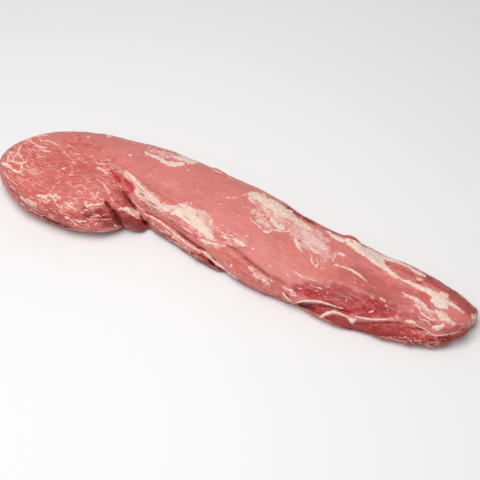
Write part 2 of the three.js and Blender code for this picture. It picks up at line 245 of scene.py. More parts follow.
    ("dark", 0.55, 2.5, 1.5, ((444, 338, 1.2), (456, 336.5, 2), (466, 332, 2), (472, 326, 1))),
    ("salmon", 0.35, 6, 3, ((452, 312, 3), (462, 318, 3), (448, 331, 2))),
    ("dark", 0.3, 4, 2, ((366, 289, 2), (378, 295, 2.5), (390, 299, 2))),
    ("dark", 0.35, 2, 0.8, ((425, 277, 0.8), (445, 285, 1), (462, 298, 1), (476, 313, 1))),
    ("stringy", 0.8, 4, 2, ((97, 176, 3), (105, 186, 5), (112, 197, 6), (118, 206, 4))),
    ("stringy", 0.9, 3, 1.5, ((144, 206, 3), (154, 210, 4), (166, 215, 4), (178, 224, 4), (192, 235, 4),
                              (204, 243, 3))),
    ("stringy", 0.9, 3, 1, ((146, 221, 2), (160, 230, 3), (176, 242, 3), (192, 252, 3), (204, 258, 2))),
    ("stringy", 0.7, 4, 2, ((214, 228, 3), (226, 235, 4), (240, 243, 3))),
    ("stringy", 0.5, 5, 3, ((222, 250, 3), (238, 262, 5), (256, 276, 6), (275, 290, 5))),
    ("stringy", 0.25, 4, 2, ((300, 308, 4), (322, 312, 4), (345, 324, 5), (372, 329, 6), (400, 332, 6))),
    ("stringy", 0.7, 3, 1.5, ((408, 330, 3), (420, 335, 4), (432, 339, 3))),
    ("stringy", 0.6, 5, 3, ((300, 284, 3), (330, 294, 6), (360, 302, 6), (390, 311, 4))),
    ("stringy", 0.6, 4, 2, ((408, 297, 3), (424, 308, 4), (438, 318, 3))),
    ("membrane", 0.6, 3, 1.5, ((100, 169, 1.5), (104, 171, 2.2), (108, 174, 1.2))),
    ("membrane", 0.3, 2, 1, ((123, 152.5, 1), (130, 153.5, 1.4), (137, 153, 1))),
    ("membrane", 0.7, 4, 2, ((152, 150, 2.5), (164, 153, 4.5), (176, 158, 4.5), (190, 160, 3.5))),
    ("membrane", 0.8, 4, 2, ((125, 171, 2), (132, 180, 3.2), (139, 188, 4.5), (150, 196, 4.5),
                             (158, 204, 3.5))),
    ("membrane", 0.8, 4, 3, ((180, 211, 5), (190, 215, 9), (200, 222, 10), (208, 230, 8))),
    ("membrane", 0.5, 4, 2, ((205, 213, 3), (211, 223, 3), (217, 232, 3))),
    ("membrane", 0.6, 4, 2, ((205, 244, 2), (218, 247, 2), (230, 243, 3), (243, 243, 2))),
    ("membrane", 0.6, 3, 1.5, ((118, 169, 1.5), (122, 173, 2), (126, 178, 1.5))),
    ("membrane", 0.55, 3, 2, ((146, 206, 2), (158, 212, 2.5), (168, 216, 2))),
    ("membrane", 0.55, 4, 2, ((252, 268, 3), (259, 274, 4), (266, 281, 3))),
    ("membrane", 0.75, 4, 2, ((252, 200, 3), (262, 206, 5), (274, 214, 6), (286, 222, 6), (298, 226, 7))),
    ("membrane", 0.7, 4, 2, ((255, 212, 3), (262, 220, 5), (270, 226, 4))),
    ("membrane", 0.85, 6, 4, ((290, 221, 5), (300, 227, 8), (311, 232, 9), (322, 239, 7))),
    ("membrane", 0.8, 6, 4, ((291, 230, 4), (298, 238, 6), (305, 244, 7))),
    ("membrane", 0.85, 6, 4, ((309, 240, 8), (318, 246, 7), (326, 249, 4))),
    ("membrane", 0.45, 6, 4, ((324, 248, 5), (333, 255, 5), (322, 262, 5))),
    ("membrane", 0.35, 3, 2, ((400, 292, 2), (416, 302, 3.5), (430, 314, 4), (444, 322, 3))),
    ("cell", 0.9, 3, 1.5, ((153, 151.5, 3), (163, 154.5, 4), (172, 156.5, 3.5))),
    ("cell", 1.0, 3, 1.5, ((255, 212, 4), (261, 218, 6), (267, 224, 5))),
    ("cell", 1.0, 3, 1.5, ((265, 208, 3), (270, 212, 4))),
    ("cell", 0.7, 3, 1.5, ((252, 270, 2), (259, 274, 3))),
)

# Fat: strength, then the points. Strength above 1 makes it thicker and cleaner.
HEAD_FAT = (
    (1.2, ((3, 163.5, 1.5), (7, 165, 2.6), (11, 167.5, 1.5))),
    (1.2, ((10.5, 167.5, 1.5), (14, 170.5, 1.1), (18, 171.8, 0.9), (24, 170.5, 0.5))),
    (0.9, ((7, 162, 1.1), (11, 161, 1.1), (15, 162.2, 1), (21.5, 163.2, 1.4), (26.5, 162, 0.9))),
    (0.8, ((20.5, 164, 1.2), (22.5, 167, 1), (20, 170, 0.8))),
    (0.85, ((7.5, 161, 1.3), (8.5, 157, 1.1), (11, 152.3, 0.8))),
    (0.7, ((10, 152.5, 0.9), (12.5, 156, 1.1), (14, 161, 0.9))),
    (0.65, ((21.5, 144.5, 0.6), (19, 149.5, 0.9), (18, 153, 1.1), (21.5, 157, 1), (24.5, 162, 0.8))),
    (0.6, ((14.5, 157, 0.7), (17, 153, 0.7))),
    (0.8, ((23.5, 139.8, 0.8), (29, 138.4, 1.2), (32, 142.5, 1.1), (37, 145.6, 1), (42, 147.5, 0.8),
           (48, 148.7, 0.5))),
    (0.9, ((36, 135.7, 1), (41, 135.4, 1.4), (46, 135.3, 1))),
    (0.9, ((38.5, 136.5, 0.7), (41, 140.5, 0.8))),
    (0.8, ((41, 141, 0.5), (48, 140.5, 0.5), (56, 144, 0.6), (60, 145.5, 0.4))),
    (0.8, ((29, 149, 0.8), (31, 151.5, 0.9))),
    (0.7, ((29, 155, 0.6), (33, 156, 0.6))),
    (0.7, ((36, 154.5, 0.5), (42, 156.5, 0.6), (47, 158, 0.4))),
    (0.7, ((38, 149.5, 0.5), (46, 151, 0.6), (54, 152.5, 0.5))),
    (0.7, ((23, 169, 0.5), (30, 170, 0.6), (38, 174, 0.4))),
    (0.7, ((16, 177, 0.5), (25, 180, 0.7), (33, 183, 0.6), (42, 185.5, 0.4))),
    (0.7, ((4, 173, 0.6), (12, 181, 0.6), (17, 185, 0.4))),
    (1.0, ((10, 186, 0.6), (15, 189.3, 0.6))),
    (0.9, ((88, 137.3, 1.2), (90, 137.4, 0.6))),
    (0.9, ((81, 141.8, 0.9), (84, 141.2, 0.7))),
    (1.0, ((108, 136.2, 0.9), (111, 136.8, 0.7))),
    (0.9, ((62, 168.8, 0.7), (64.5, 168.4, 0.8))),
    (0.7, ((57, 171, 0.5), (60, 170, 0.5))),
    (0.8, ((64.5, 151.4, 0.9),)),
    (0.6, ((50, 190, 0.5), (54, 187.5, 0.4))),
    (0.9, ((37.5, 195.5, 1.5), (42, 196.6, 2.2), (46, 198, 1.6))),
    (0.8, ((46, 195.6, 1), (50, 195.3, 1.4), (53, 197.5, 1))),
    (0.8, ((43, 200, 1.2), (46, 202.5, 1.5), (49.5, 200.5, 1))),
    (0.9, ((52, 196.2, 1.3), (56, 196, 1.9), (60, 198.5, 1.2))),
    (0.8, ((53, 200, 0.8), (56, 200.3, 0.9), (54, 203.5, 0.8))),
    (0.8, ((41, 199.5, 0.7), (40, 202, 0.6))),
    (0.9, ((56, 203.5, 0.6), (59, 206, 0.8), (62, 208.5, 0.9), (64, 211.5, 0.8))),
    (1.0, ((59, 210.5, 0.8), (61.5, 212.8, 1))),
    (0.9, ((64.5, 203, 0.7), (69, 204, 1), (73, 202.8, 0.7), (76, 202, 0.4))),
    (0.9, ((68.5, 205.5, 0.9), (72, 207.5, 1), (76, 210.5, 0.5))),
    (0.8, ((28.5, 200.5, 0.7), (32, 202.5, 1), (36.5, 205, 0.7))),
    (0.7, ((21, 203, 0.7), (26, 208, 0.7))),
    (0.8, ((30.5, 209.5, 0.6), (35, 212.5, 0.6), (42, 216, 0.5))),
    (0.8, ((49.5, 216.3, 0.8), (54, 218, 0.7))),
    (0.9, ((66, 217, 0.6), (72, 220.5, 0.6), (77, 225, 0.5))),
    (1.0, ((74, 219.7, 0.6), (80, 221.3, 0.9), (86, 221.3, 0.6))),
    (0.7, ((74, 224, 0.5), (80, 227, 0.6), (90, 230, 0.5))),
    (0.9, ((95.5, 224.5, 0.9), (97, 223.5, 0.7))),
    (0.8, ((88.5, 226.8, 0.9),)),
    (0.6, ((103.5, 226, 0.6), (105, 226.3, 0.5))),
    (0.9, ((115, 225, 1.1), (116.5, 225.8, 0.9))),
    (0.8, ((98, 231.3, 0.6), (108, 231.5, 0.5))),
    (0.6, ((88, 219.6, 0.4), (98, 219.2, 0.4))),
    (0.8, ((102, 219.8, 0.5), (111, 219.2, 0.6))),
    (0.6, ((99, 215.5, 0.6), (100.5, 216.5, 0.5))),
    (0.85, ((85, 203.8, 0.7), (88, 205.8, 1.1), (92, 205.2, 0.8), (96, 204.5, 1.1), (100, 204.4, 1.4),
            (103.5, 203.6, 1))),
    (0.8, ((84.5, 201.5, 0.6), (88, 202, 0.6))),
    (0.9, ((91, 192.5, 0.8), (93, 194, 0.7))),
    (0.9, ((96, 195.5, 0.9), (98, 192.8, 0.7))),
    (0.9, ((84.5, 188.5, 1),)),
    (0.8, ((92, 199, 0.8), (95.5, 198.5, 0.6))),
    (0.8, ((79, 190.8, 0.5), (85.5, 191.6, 0.5))),
    (0.8, ((98, 167.3, 0.6), (103, 170, 0.8), (107, 173.5, 0.6))),
    (0.7, ((96, 163, 0.5), (104, 164.5, 0.6), (109, 164, 0.4))),
)
NECK_FAT = (
    (0.9, ((129.5, 155.4, 1), (132, 155.3, 0.8))),
    (0.9, ((148.5, 176.3, 0.6), (150.7, 174.8, 0.6))),
    (0.8, ((187.5, 169.7, 0.8), (189.5, 170.2, 0.6))),
    (0.8, ((210, 168, 0.5), (216, 170.8, 0.9), (222, 173.6, 0.5))),
    (0.7, ((227, 176.6, 0.5), (232, 179.2, 0.7))),
    (1.2, ((124, 170.8, 0.7), (128, 173, 1.3), (132, 176.5, 1.5), (134.5, 179.5, 1.3))),
    (1.2, ((134, 180, 1.2), (137.5, 183, 1.2), (140.5, 186.5, 1.2), (144, 190, 1.3))),
    (1.1, ((144, 190.5, 1.3), (149, 194, 1.3), (154, 198, 1.2), (160, 203, 1.1))),
    (0.9, ((138, 190.5, 2), (144, 196, 3), (151, 200.5, 2.6), (159, 205.5, 1.8))),
    (0.9, ((128.5, 193.5, 0.4), (133, 200.5, 0.6), (139, 207.5, 0.7), (145, 212, 0.6))),
    (0.9, ((153, 207, 0.9), (158, 209, 1.2), (162, 212, 1))),
    (0.8, ((149, 206, 0.8), (153, 209, 0.9))),
    (1.0, ((160, 204.5, 1), (165, 207.5, 1.1), (171, 211, 1))),
    (1.0, ((161, 203.5, 0.8), (165, 203, 0.7), (168.5, 200.5, 0.5))),
    (0.9, ((152, 198.5, 0.8), (154.5, 196, 0.4))),
    (0.9, ((156, 201.5, 0.8), (158.5, 198.5, 0.4))),
    (1.0, ((118, 183, 0.4), (120, 186, 0.5), (122.3, 189.5, 0.4))),
    (1.2, ((118.5, 209.5, 1), (122, 208.5, 1.5), (126, 209.6, 2.1), (130.5, 211.4, 2.7),
           (134.5, 213.3, 2.9), (138, 216.5, 2.2), (139.5, 218.5, 1))),
    (1.0, ((144, 213.4, 0.8), (149, 216, 1), (154, 218.6, 1), (160, 221.6, 0.9))),
    (1.1, ((158, 221, 0.8), (164, 224.8, 1), (170, 229.6, 1.1), (176, 235, 0.9), (183, 240.8, 1.1),
           (189, 245.2, 1.3), (195, 248.8, 1.5), (200, 251.7, 1.1))),
    (0.9, ((165, 230, 0.5), (172, 235.5, 0.7), (180, 242.5, 0.8), (187, 248, 0.9))),
    (0.8, ((152, 223, 0.4), (160, 228.5, 0.6), (168, 235, 0.5))),
    (0.8, ((172, 240, 0.4), (180, 246, 0.6), (188, 251.5, 0.5))),
    (0.9, ((150, 208.5, 0.5), (157, 212.3, 0.7), (164, 216, 0.5))),
    (0.8, ((164, 213, 0.5), (170, 217.5, 0.7), (176, 222, 0.5))),
    (0.8, ((178, 223.5, 0.4), (186, 229.5, 0.6), (193, 234.5, 0.4))),
    (1.0, ((198, 251.5, 0.9), (203, 252, 0.9), (207, 253, 0.8), (210, 257, 0.9))),
    (0.9, ((204, 253.5, 0.6), (209, 257.5, 0.9), (213, 260.5, 1), (218, 265, 0.9))),
    (0.9, ((216, 262, 0.7), (221, 266.5, 0.8), (226, 271, 0.8))),
    (0.9, ((211, 259.5, 0.5), (214, 262, 0.7), (216.5, 265, 0.5))),
    (1.3, ((171.5, 213.5, 1.4), (177, 211.5, 3.6), (184, 213, 5.6), (191, 218, 6.6))),
    (1.2, ((191, 218, 6.4), (199, 225, 6), (206, 232, 4.4), (211, 237, 2.6))),
    (1.0, ((178, 207, 1.6), (185, 205.5, 2.2), (192, 209.5, 2.6), (199, 214, 2.6))),
    (0.65, ((198, 213, 3), (204, 217, 4), (209, 225, 3.8), (212.5, 232, 2.4))),
    (0.8, ((192, 210, 1.2), (199, 211.5, 1.8), (205, 212.5, 1.2))),
    (1.0, ((176, 207, 1), (179, 204.5, 0.7))),
    (1.0, ((183, 205, 1.2), (187, 202.5, 0.6))),
    (1.0, ((189, 207, 1), (192, 202.5, 0.6))),
    (1.0, ((203, 214, 1.4), (205, 210, 0.6))),
    (1.0, ((208, 220, 1), (211.5, 222.3, 0.6))),
    (1.1, ((198, 238.5, 0.9), (203, 241.5, 1.4), (209, 243, 1.8), (215, 244.3, 1.3), (225, 246, 0.7))),
    (0.9, ((207, 237.5, 1.2), (213, 240, 1.2))),
    (1.0, ((222.5, 236.3, 1.3), (227, 238, 1.9), (231.5, 238.9, 1.3))),
    (1.0, ((232.5, 239.3, 1.3), (237, 241.3, 2.2), (241, 243.7, 2), (244.5, 245.5, 1))),
    (0.9, ((226, 234, 0.7), (230, 235, 1), (233, 236.5, 0.7))),
    (0.8, ((235, 237, 0.6), (239, 239, 0.8), (243, 241.5, 0.5))),
    (0.9, ((231, 242.5, 0.5), (234.5, 244, 0.5))),
    (1.1, ((252, 248.3, 1), (253.5, 249.3, 0.7))),
    (0.8, ((246, 236, 0.8), (248, 235, 0.6))),
)
MIDDLE_FAT = (
    (1.1, ((231.3, 265, 0.9), (231, 267.5, 1))),
    (0.75, ((249, 267.5, 0.9), (252, 270.5, 1.2), (254.5, 274.5, 1.5), (259, 276.5, 1.6), (263, 279, 1.4))),
    (1.2, ((264, 280.5, 1.2), (267, 284, 1.9), (269.5, 286.5, 1.1))),
    (0.9, ((258, 272, 0.5), (262, 275.5, 0.5))),
    (0.9, ((270.5, 279.5, 0.8), (272, 281.5, 0.8))),
    (0.8, ((263, 277, 0.5), (267, 280, 0.5))),
    (0.9, ((299, 288.3, 0.6), (303, 289, 0.7), (306, 287.5, 0.4))),
    (0.9, ((310, 285.3, 0.4), (314, 287, 0.6), (322, 288.3, 0.4))),
    (0.9, ((293, 271, 0.4), (301, 276, 0.6), (309, 279.2, 0.7), (317, 281, 0.5))),
    (1.2, ((250, 193.5, 2), (256, 195.5, 4), (262, 198.5, 5.2), (268, 202.5, 5.2))),
    (1.1, ((266, 201.5, 4.6), (273, 205.5, 5), (280, 210, 5), (287, 215, 4.6))),
    (0.9, ((286, 213.5, 4), (294, 218.5, 3.8), (302, 224, 3.2), (310, 229.5, 2))),
    (1.0, ((249.5, 196, 1.4), (251.5, 200, 1.5), (254, 203.5, 0.8))),
    (1.0, ((254, 209.5, 0.4), (249, 215.5, 0.6), (252, 220.5, 0.8), (258, 225.5, 0.8), (264, 230.5, 0.9),
           (268.5, 232.3, 1.1), (271.5, 229.5, 0.9))),
    (0.9, ((271.5, 229.5, 0.8), (278, 230.5, 1), (286, 231.5, 0.8), (291, 230, 0.6))),
    (0.7, ((253, 212, 0.4), (258, 216, 0.5), (263, 219.5, 0.5), (270, 222, 0.6))),
    (0.7, ((256, 205, 0.5), (260, 211, 0.6), (262, 217, 0.5), (258, 224, 0.4))),
    (0.7, ((263, 203, 0.6), (269, 207, 0.5), (273, 213, 0.6), (270, 220, 0.5))),
    (0.8, ((273, 213, 1), (277, 218, 1.6), (283, 222, 1.6))),
    (0.8, ((284, 212, 0.6), (283, 219, 0.7), (280, 224, 0.6))),
    (0.9, ((306, 233, 0.6), (309, 238, 0.9), (312, 243, 0.7))),
    (0.7, ((313, 233, 0.5), (318, 237, 0.6), (323, 241, 0.4))),
    (0.7, ((300, 229, 0.6), (306, 231, 0.6), (314, 232, 0.4))),
    (0.8, ((316, 246, 0.7), (322, 248, 0.8), (327, 249, 0.5))),
    (0.8, ((309, 246, 0.5), (315, 251, 0.6), (320, 254, 0.5))),
    (0.8, ((305, 246, 0.4), (309, 251, 0.6), (311.5, 256, 0.6))),
    (1.1, ((294, 236, 0.8), (295.5, 241, 1.4), (298, 246, 1.8), (301.5, 250.5, 1.2))),
    (1.0, ((312.5, 255.5, 0.5), (311.3, 259, 0.7), (313, 264, 0.9), (316.5, 266.5, 0.9), (318.8, 263, 0.8),
           (316.5, 259, 0.6))),
    (1.0, ((336, 251.5, 0.6), (335, 256.5, 0.8), (332.5, 261, 0.5))),
    (1.1, ((338.5, 253.3, 0.8), (341.5, 254.3, 1.2), (344.5, 255.3, 0.9))),
    (1.0, ((335.5, 264.8, 0.5), (344, 267, 0.8), (351, 269.7, 1), (356, 272.8, 1.2), (361, 276.5, 1),
           (367.5, 282, 0.6))),
    (0.5, ((369, 284, 0.3), (374.5, 288.3, 0.3))),
    (1.0, ((227, 197.4, 1), (229.5, 198, 0.8))),
    (1.0, ((233, 197.8, 0.9), (235.5, 197.8, 0.7))),
    (0.7, ((236, 197.3, 0.35), (243, 195.5, 0.4), (248.5, 193.8, 0.5))),
    (0.8, ((218.5, 204.5, 0.9), (220.5, 203.3, 0.7), (222.5, 205, 0.8))),
    (0.9, ((243, 206.6, 0.6), (248, 207.6, 0.5), (252, 208.5, 0.4))),
    (0.8, ((238, 215.6, 0.6), (239.5, 215.8, 0.5))),
    (0.8, ((268.5, 265.7, 1), (271, 266.7, 0.8))),
    (0.5, ((287.5, 275.5, 1.2), (289, 277, 0.9))),
)
TAIL_FAT = (
    (1.5, ((344.5, 240, 1.6), (349, 241.8, 3.8), (354, 244.3, 4.8), (358.5, 247.6, 4.2))),
    (1.3, ((358, 249, 3.2), (364, 252, 3.8), (371, 256.2, 4.2), (378, 261, 3.9), (385, 267.2, 3),
           (391, 272.5, 2.4), (396, 276, 1.8))),
    (1.2, ((396, 276.5, 1.5), (404, 280.3, 1.5), (412, 283.7, 2), (420, 287.3, 2.5), (428, 290.8, 3),
           (436, 295, 4.2), (443, 299, 3.6), (450, 303.2, 2.3), (457, 307.7, 1.4), (463, 311.8, 0.5))),
    (1.1, ((440, 293.5, 2.2), (445, 295.5, 2.6), (448, 299, 1.8))),
    (1.2, ((392.5, 274, 1.3), (394.5, 273.3, 0.8))),
    (1.2, ((398, 276, 1.1),)),
    (1.3, ((418, 278.8, 1.4), (421.5, 279.6, 1.4), (422.5, 281.5, 0.8))),
    (1.0, ((400, 268, 0.4), (404, 269.5, 0.5), (408, 270, 0.6), (410.5, 268.8, 0.5))),
    (0.8, ((391, 264.5, 0.4), (393.5, 265.8, 0.5))),
    (0.9, ((416, 271, 0.8), (420, 273.5, 0.9), (424, 275, 0.6))),
    (1.0, ((448, 289.5, 0.7),)),
    (0.95, ((436, 311.5, 2), (441.5, 315.3, 3.4), (448, 319.5, 3.2), (453.5, 323.3, 2))),
    (1.0, ((421, 319, 0.7), (425, 320.5, 1.2), (428.5, 322.5, 1.4), (431, 326, 0.7))),
    (1.3, ((433.5, 327.5, 2), (438, 327.8, 2.9), (443, 326, 2.1))),
    (1.0, ((436.5, 329.5, 0.8), (438, 330.5, 0.5))),
    (0.9, ((452.5, 325.7, 0.8), (454, 325.8, 0.5))),
    (0.8, ((452, 323.5, 0.4), (463, 324.2, 0.3))),
    (0.9, ((380.5, 298, 0.6), (384, 300, 0.8), (386, 302.5, 0.5))),
    (1.0, ((385.5, 305.3, 1), (387, 306.3, 0.7))),
    (0.8, ((387.5, 309, 0.4), (388.5, 311, 0.5))),
    (0.9, ((370, 312.3, 0.8), (373, 311, 0.7))),
    (1.0, ((328.3, 286.7, 0.9),)),
    (0.8, ((395.5, 315.5, 0.8), (397.5, 316.8, 0.8))),
    (1.5, ((349.5, 319, 1.7), (352.3, 320.8, 2.4), (355, 319.8, 1.7))),
    (1.1, ((406.5, 321.3, 1.3), (411, 321.8, 1.8), (414.5, 322.8, 1.3))),
    (0.8, ((405, 336.7, 0.5), (411, 340, 0.6))),
    (0.8, ((417, 330.5, 0.4), (421, 333.5, 0.6), (425, 335.5, 0.4))),
    (0.9, ((424, 338.5, 0.5), (429, 341.3, 0.8), (433.5, 343.5, 0.6))),
    (1.2, ((472, 315, 1), (473.5, 318.5, 1.8), (472, 322.5, 1.6), (469, 326.8, 1.1))),
    (1.0, ((475.5, 314.5, 0.8), (475.5, 317.5, 1))),
)
FAT = HEAD_FAT + NECK_FAT + MIDDLE_FAT + TAIL_FAT
# Film: strength, then the points. Strength above 1 makes it whiter and thicker, as at the lips of the layers.
FILM = (
    (0.9, ((21, 198, 1.1), (26, 200, 2), (31, 203, 2.2), (36, 205, 1.3))),
    (0.8, ((96.4, 178.6, 0.5), (102, 183, 0.5), (105.5, 187, 0.5), (108, 192, 0.5), (111, 198, 0.5),
           (113.6, 202, 0.5))),
    (0.6, ((98, 175, 0.4), (104, 179, 0.4), (109, 184, 0.4))),
    (0.7, ((104, 184, 0.4), (109, 191, 0.5), (111, 199, 0.5), (114, 204, 0.4))),
    (0.6, ((107, 181, 0.4), (112, 187, 0.4), (115, 193, 0.3))),
    (1.3, ((152, 145, 0.5), (148, 149, 0.8), (145.5, 152.5, 1.2))),
    (1.5, ((145.5, 153, 1.3), (151, 155.5, 1.4), (157, 157.5, 1.6), (162, 160, 1.8))),
    (1.7, ((162, 160.5, 1.9), (168, 163.3, 2.6), (175, 164.6, 3), (183, 163.5, 2.2))),
    (1.7, ((175, 157, 1.8), (182, 158.3, 3), (190, 160, 3.4), (198, 162, 2))),
    (1.4, ((178, 154, 1.2), (187, 156.5, 2), (195, 159.5, 2))),
    (1.2, ((155, 148.5, 0.6), (160, 153, 0.8), (163, 158.5, 0.7))),
    (1.2, ((163, 150, 0.6), (168, 155, 0.8), (173, 161.5, 0.8))),
    (1.2, ((171, 152, 0.6), (175, 156.5, 0.8))),
    (1.2, ((151, 151.5, 0.6), (160, 151.8, 0.7), (170, 153.5, 0.7), (180, 156, 0.8))),
    (1.2, ((156, 155.8, 0.5), (166, 157, 0.7), (177, 160.8, 0.8))),
    (0.8, ((134, 143.4, 0.5), (141, 143.2, 0.6), (147, 144, 0.4))),
    (1.3, ((137, 191.5, 2.6), (144, 196.5, 5), (151, 201, 5), (159, 205.5, 4), (167, 210, 2.6))),
    (1.2, ((163, 205, 1.5), (170, 207.5, 2.4), (178, 207, 2.4))),
    (0.9, ((120, 169.5, 0.8), (124, 173, 1.3), (128, 177.5, 1.2))),
    (0.9, ((171, 213, 1.4), (178, 208, 2.6), (186, 206, 2.8), (192, 209, 2.4))),
    (0.8, ((196, 212, 2.4), (204, 214, 2.8), (210, 220, 2.6), (213.5, 228, 2.2))),
    (0.8, ((146, 209, 0.5), (153, 213, 0.7), (160, 216, 0.5))),
    (0.8, ((154, 210.5, 0.5), (162, 214, 0.7), (170, 219, 0.5))),
    (0.6, ((172, 218, 0.4), (182, 226, 0.5), (192, 233, 0.4))),
    (0.6, ((176, 236, 0.8), (184, 243, 1.2), (192, 248.5, 1.4))),
    (1.3, ((218, 262.5, 0.9), (224, 269, 1.1), (231, 275, 1.2), (239, 280.2, 0.9))),
    (1.2, ((213, 234, 0.5), (220, 236.5, 0.6), (227, 238, 0.5))),
    (1.2, ((215, 226, 0.4), (222, 229, 0.5), (230, 232.5, 0.5))),
    (1.2, ((216, 229.5, 0.4), (224, 233.5, 0.5), (231, 237, 0.5))),
    (1.2, ((220, 223.5, 0.4), (228, 229.5, 0.5), (236, 234.5, 0.4))),
    (1.2, ((232, 231, 0.4), (240, 236.5, 0.5), (248, 243, 0.5))),
    (1.2, ((236, 238, 0.4), (243, 242.5, 0.5), (250, 248, 0.4))),
    (1.2, ((212, 239.5, 0.5), (222, 242.5, 0.6), (232, 245.5, 0.5))),
    (1.2, ((283, 287.5, 1), (287, 289.5, 1.5), (291, 290.5, 1.6), (295, 293.5, 1.2))),
    (1.2, ((290, 291, 0.9), (291.5, 295, 1), (295, 296, 0.9))),
    (1.5, ((283, 293.5, 1), (286.5, 297.5, 1.3), (291, 301, 0.9))),
    (1.4, ((272, 220.5, 2.4), (277, 225, 3.4), (283, 228, 2.4))),
    (0.9, ((276, 216, 1.8), (284, 221, 2.2), (292, 226, 2))),
    (0.8, ((294, 221, 2.4), (303, 226, 3), (312, 230.5, 2.4))),
    (1.1, ((303, 232, 3), (311, 238, 5), (319, 244, 4.4), (325, 248.5, 2.4))),
    (1.0, ((305, 242, 2.6), (312, 248, 3), (318, 253, 1.8))),
    (0.7, ((322, 251, 1.6), (328, 257, 1.8), (324, 263, 1.2))),
    (1.9, ((326, 230.8, 0.7), (331.5, 234.8, 1.6), (337.5, 238.2, 2.2), (343, 240.6, 2))),
    (1.7, ((361, 247.2, 1.6), (368, 250.6, 2.2), (376, 254.6, 2.4), (386, 257.6, 2.3), (397, 261.8, 2.1),
           (408, 266.8, 1.9), (418, 272.6, 1.6), (425, 276.4, 0.9))),
    (2.6, ((291.5, 304.2, 0.4), (297, 302.4, 0.9), (304, 300.8, 1.3), (313, 300.8, 1.2), (322, 302.2, 1),
           (331, 305, 0.8), (338, 307.4, 0.5), (344, 308.6, 0.3))),
    (2.6, ((318.5, 318.6, 0.4), (322.5, 315.6, 1.2), (327.5, 312.8, 1.6), (333.5, 311.6, 1.4),
           (340, 313.4, 0.8), (346, 316.4, 0.5), (350, 318.4, 0.7))),
    (2.6, ((355.5, 315.8, 0.5), (359.5, 317.6, 0.9), (367, 318.8, 0.9), (376, 319.6, 0.8),
           (386, 319.2, 0.7), (394, 318.6, 0.5), (402, 319, 0.3))),
    (2.2, ((414, 323.6, 0.3), (420, 327, 0.4), (427, 330.5, 0.4), (434, 335.3, 0.5))),
    (2.2, ((434, 335.6, 0.5), (442, 335.2, 0.4), (450, 334.3, 0.6), (457, 332.8, 0.8), (463, 330.6, 0.6))),
    (2.0, ((466, 328.6, 0.6), (470, 327.2, 0.7))),
    (1.9, ((432.5, 300.5, 2.6), (437.5, 302.5, 4.6), (443, 305, 4), (447, 307.5, 2.2))),
    (1.5, ((399, 291, 0.5), (404, 293, 0.8), (410, 297, 1.2), (417, 301, 1.7), (424, 305, 1.5),
           (430, 312, 1.3), (436, 320, 0.8))),
    (1.4, ((407, 296, 1), (412, 296.3, 1), (418, 299, 1.2), (424, 303.8, 0.9), (427, 306, 0.5))),
    (1.5, ((415, 305, 0.7), (420, 308, 1.2), (422, 314, 1.1), (428, 318, 1.4), (433, 320.5, 1))),
    (1.3, ((424, 305, 0.7), (423, 310, 0.8), (427, 309, 0.8), (430, 311.5, 0.8), (429, 316, 0.8))),
    (1.5, ((429, 309, 0.8), (436, 314, 1.3), (442, 319, 1), (449, 323, 0.6), (458, 324, 0.4))),
    (1.2, ((412, 300, 0.4), (417, 305, 0.6), (420, 311, 0.8), (425, 315, 0.8), (431, 319.5, 0.5))),
    (0.5, ((414, 301, 1.2), (421, 306, 2), (427, 311, 2.6), (432, 316, 2.8), (436, 321, 1.8))),
    (0.8, ((386, 338, 0.4), (392, 338.6, 0.6), (399, 337.6, 0.6), (404, 337.6, 0.4))),
    (1.2, ((470, 321, 0.6), (467, 326, 0.6))),
)
# Gaps in the fat and the film, where the red muscle shows.
HOLES = (
    ((350.3, 241.3, 0.5), (352.6, 242, 0.6)),
    ((12.5, 165, 0.9), (17, 167.3, 1.5)),
    ((262.5, 209, 0.9), (266.5, 211.5, 1.3)),
    ((258, 219, 0.9), (262, 223, 1.2)),
    ((267, 215.5, 0.8), (269.5, 218.5, 0.8)),
    ((386, 263.3, 1), (392, 263.5, 1.6), (400, 267, 2.4), (408, 271, 2.6), (413, 274.5, 1.6)),
    ((152, 203.5, 0.6), (157, 206, 0.6)),
    ((150, 212.3, 0.4), (157, 216, 0.5)),
    ((251, 270.6, 0.4), (253, 272.6, 0.5)),
    ((256, 274, 0.5), (258, 275.2, 0.5)),
    ((260.6, 277.2, 0.5), (262, 278.4, 0.5)),
    ((265, 282.4, 0.4), (266.4, 283.6, 0.5)),
    ((140, 193.5, 0.6), (144, 195.5, 0.8)),
    ((148, 201.5, 0.5), (152, 203.6, 0.6)),
    ((184, 216, 0.4), (190, 220, 0.5)),
)
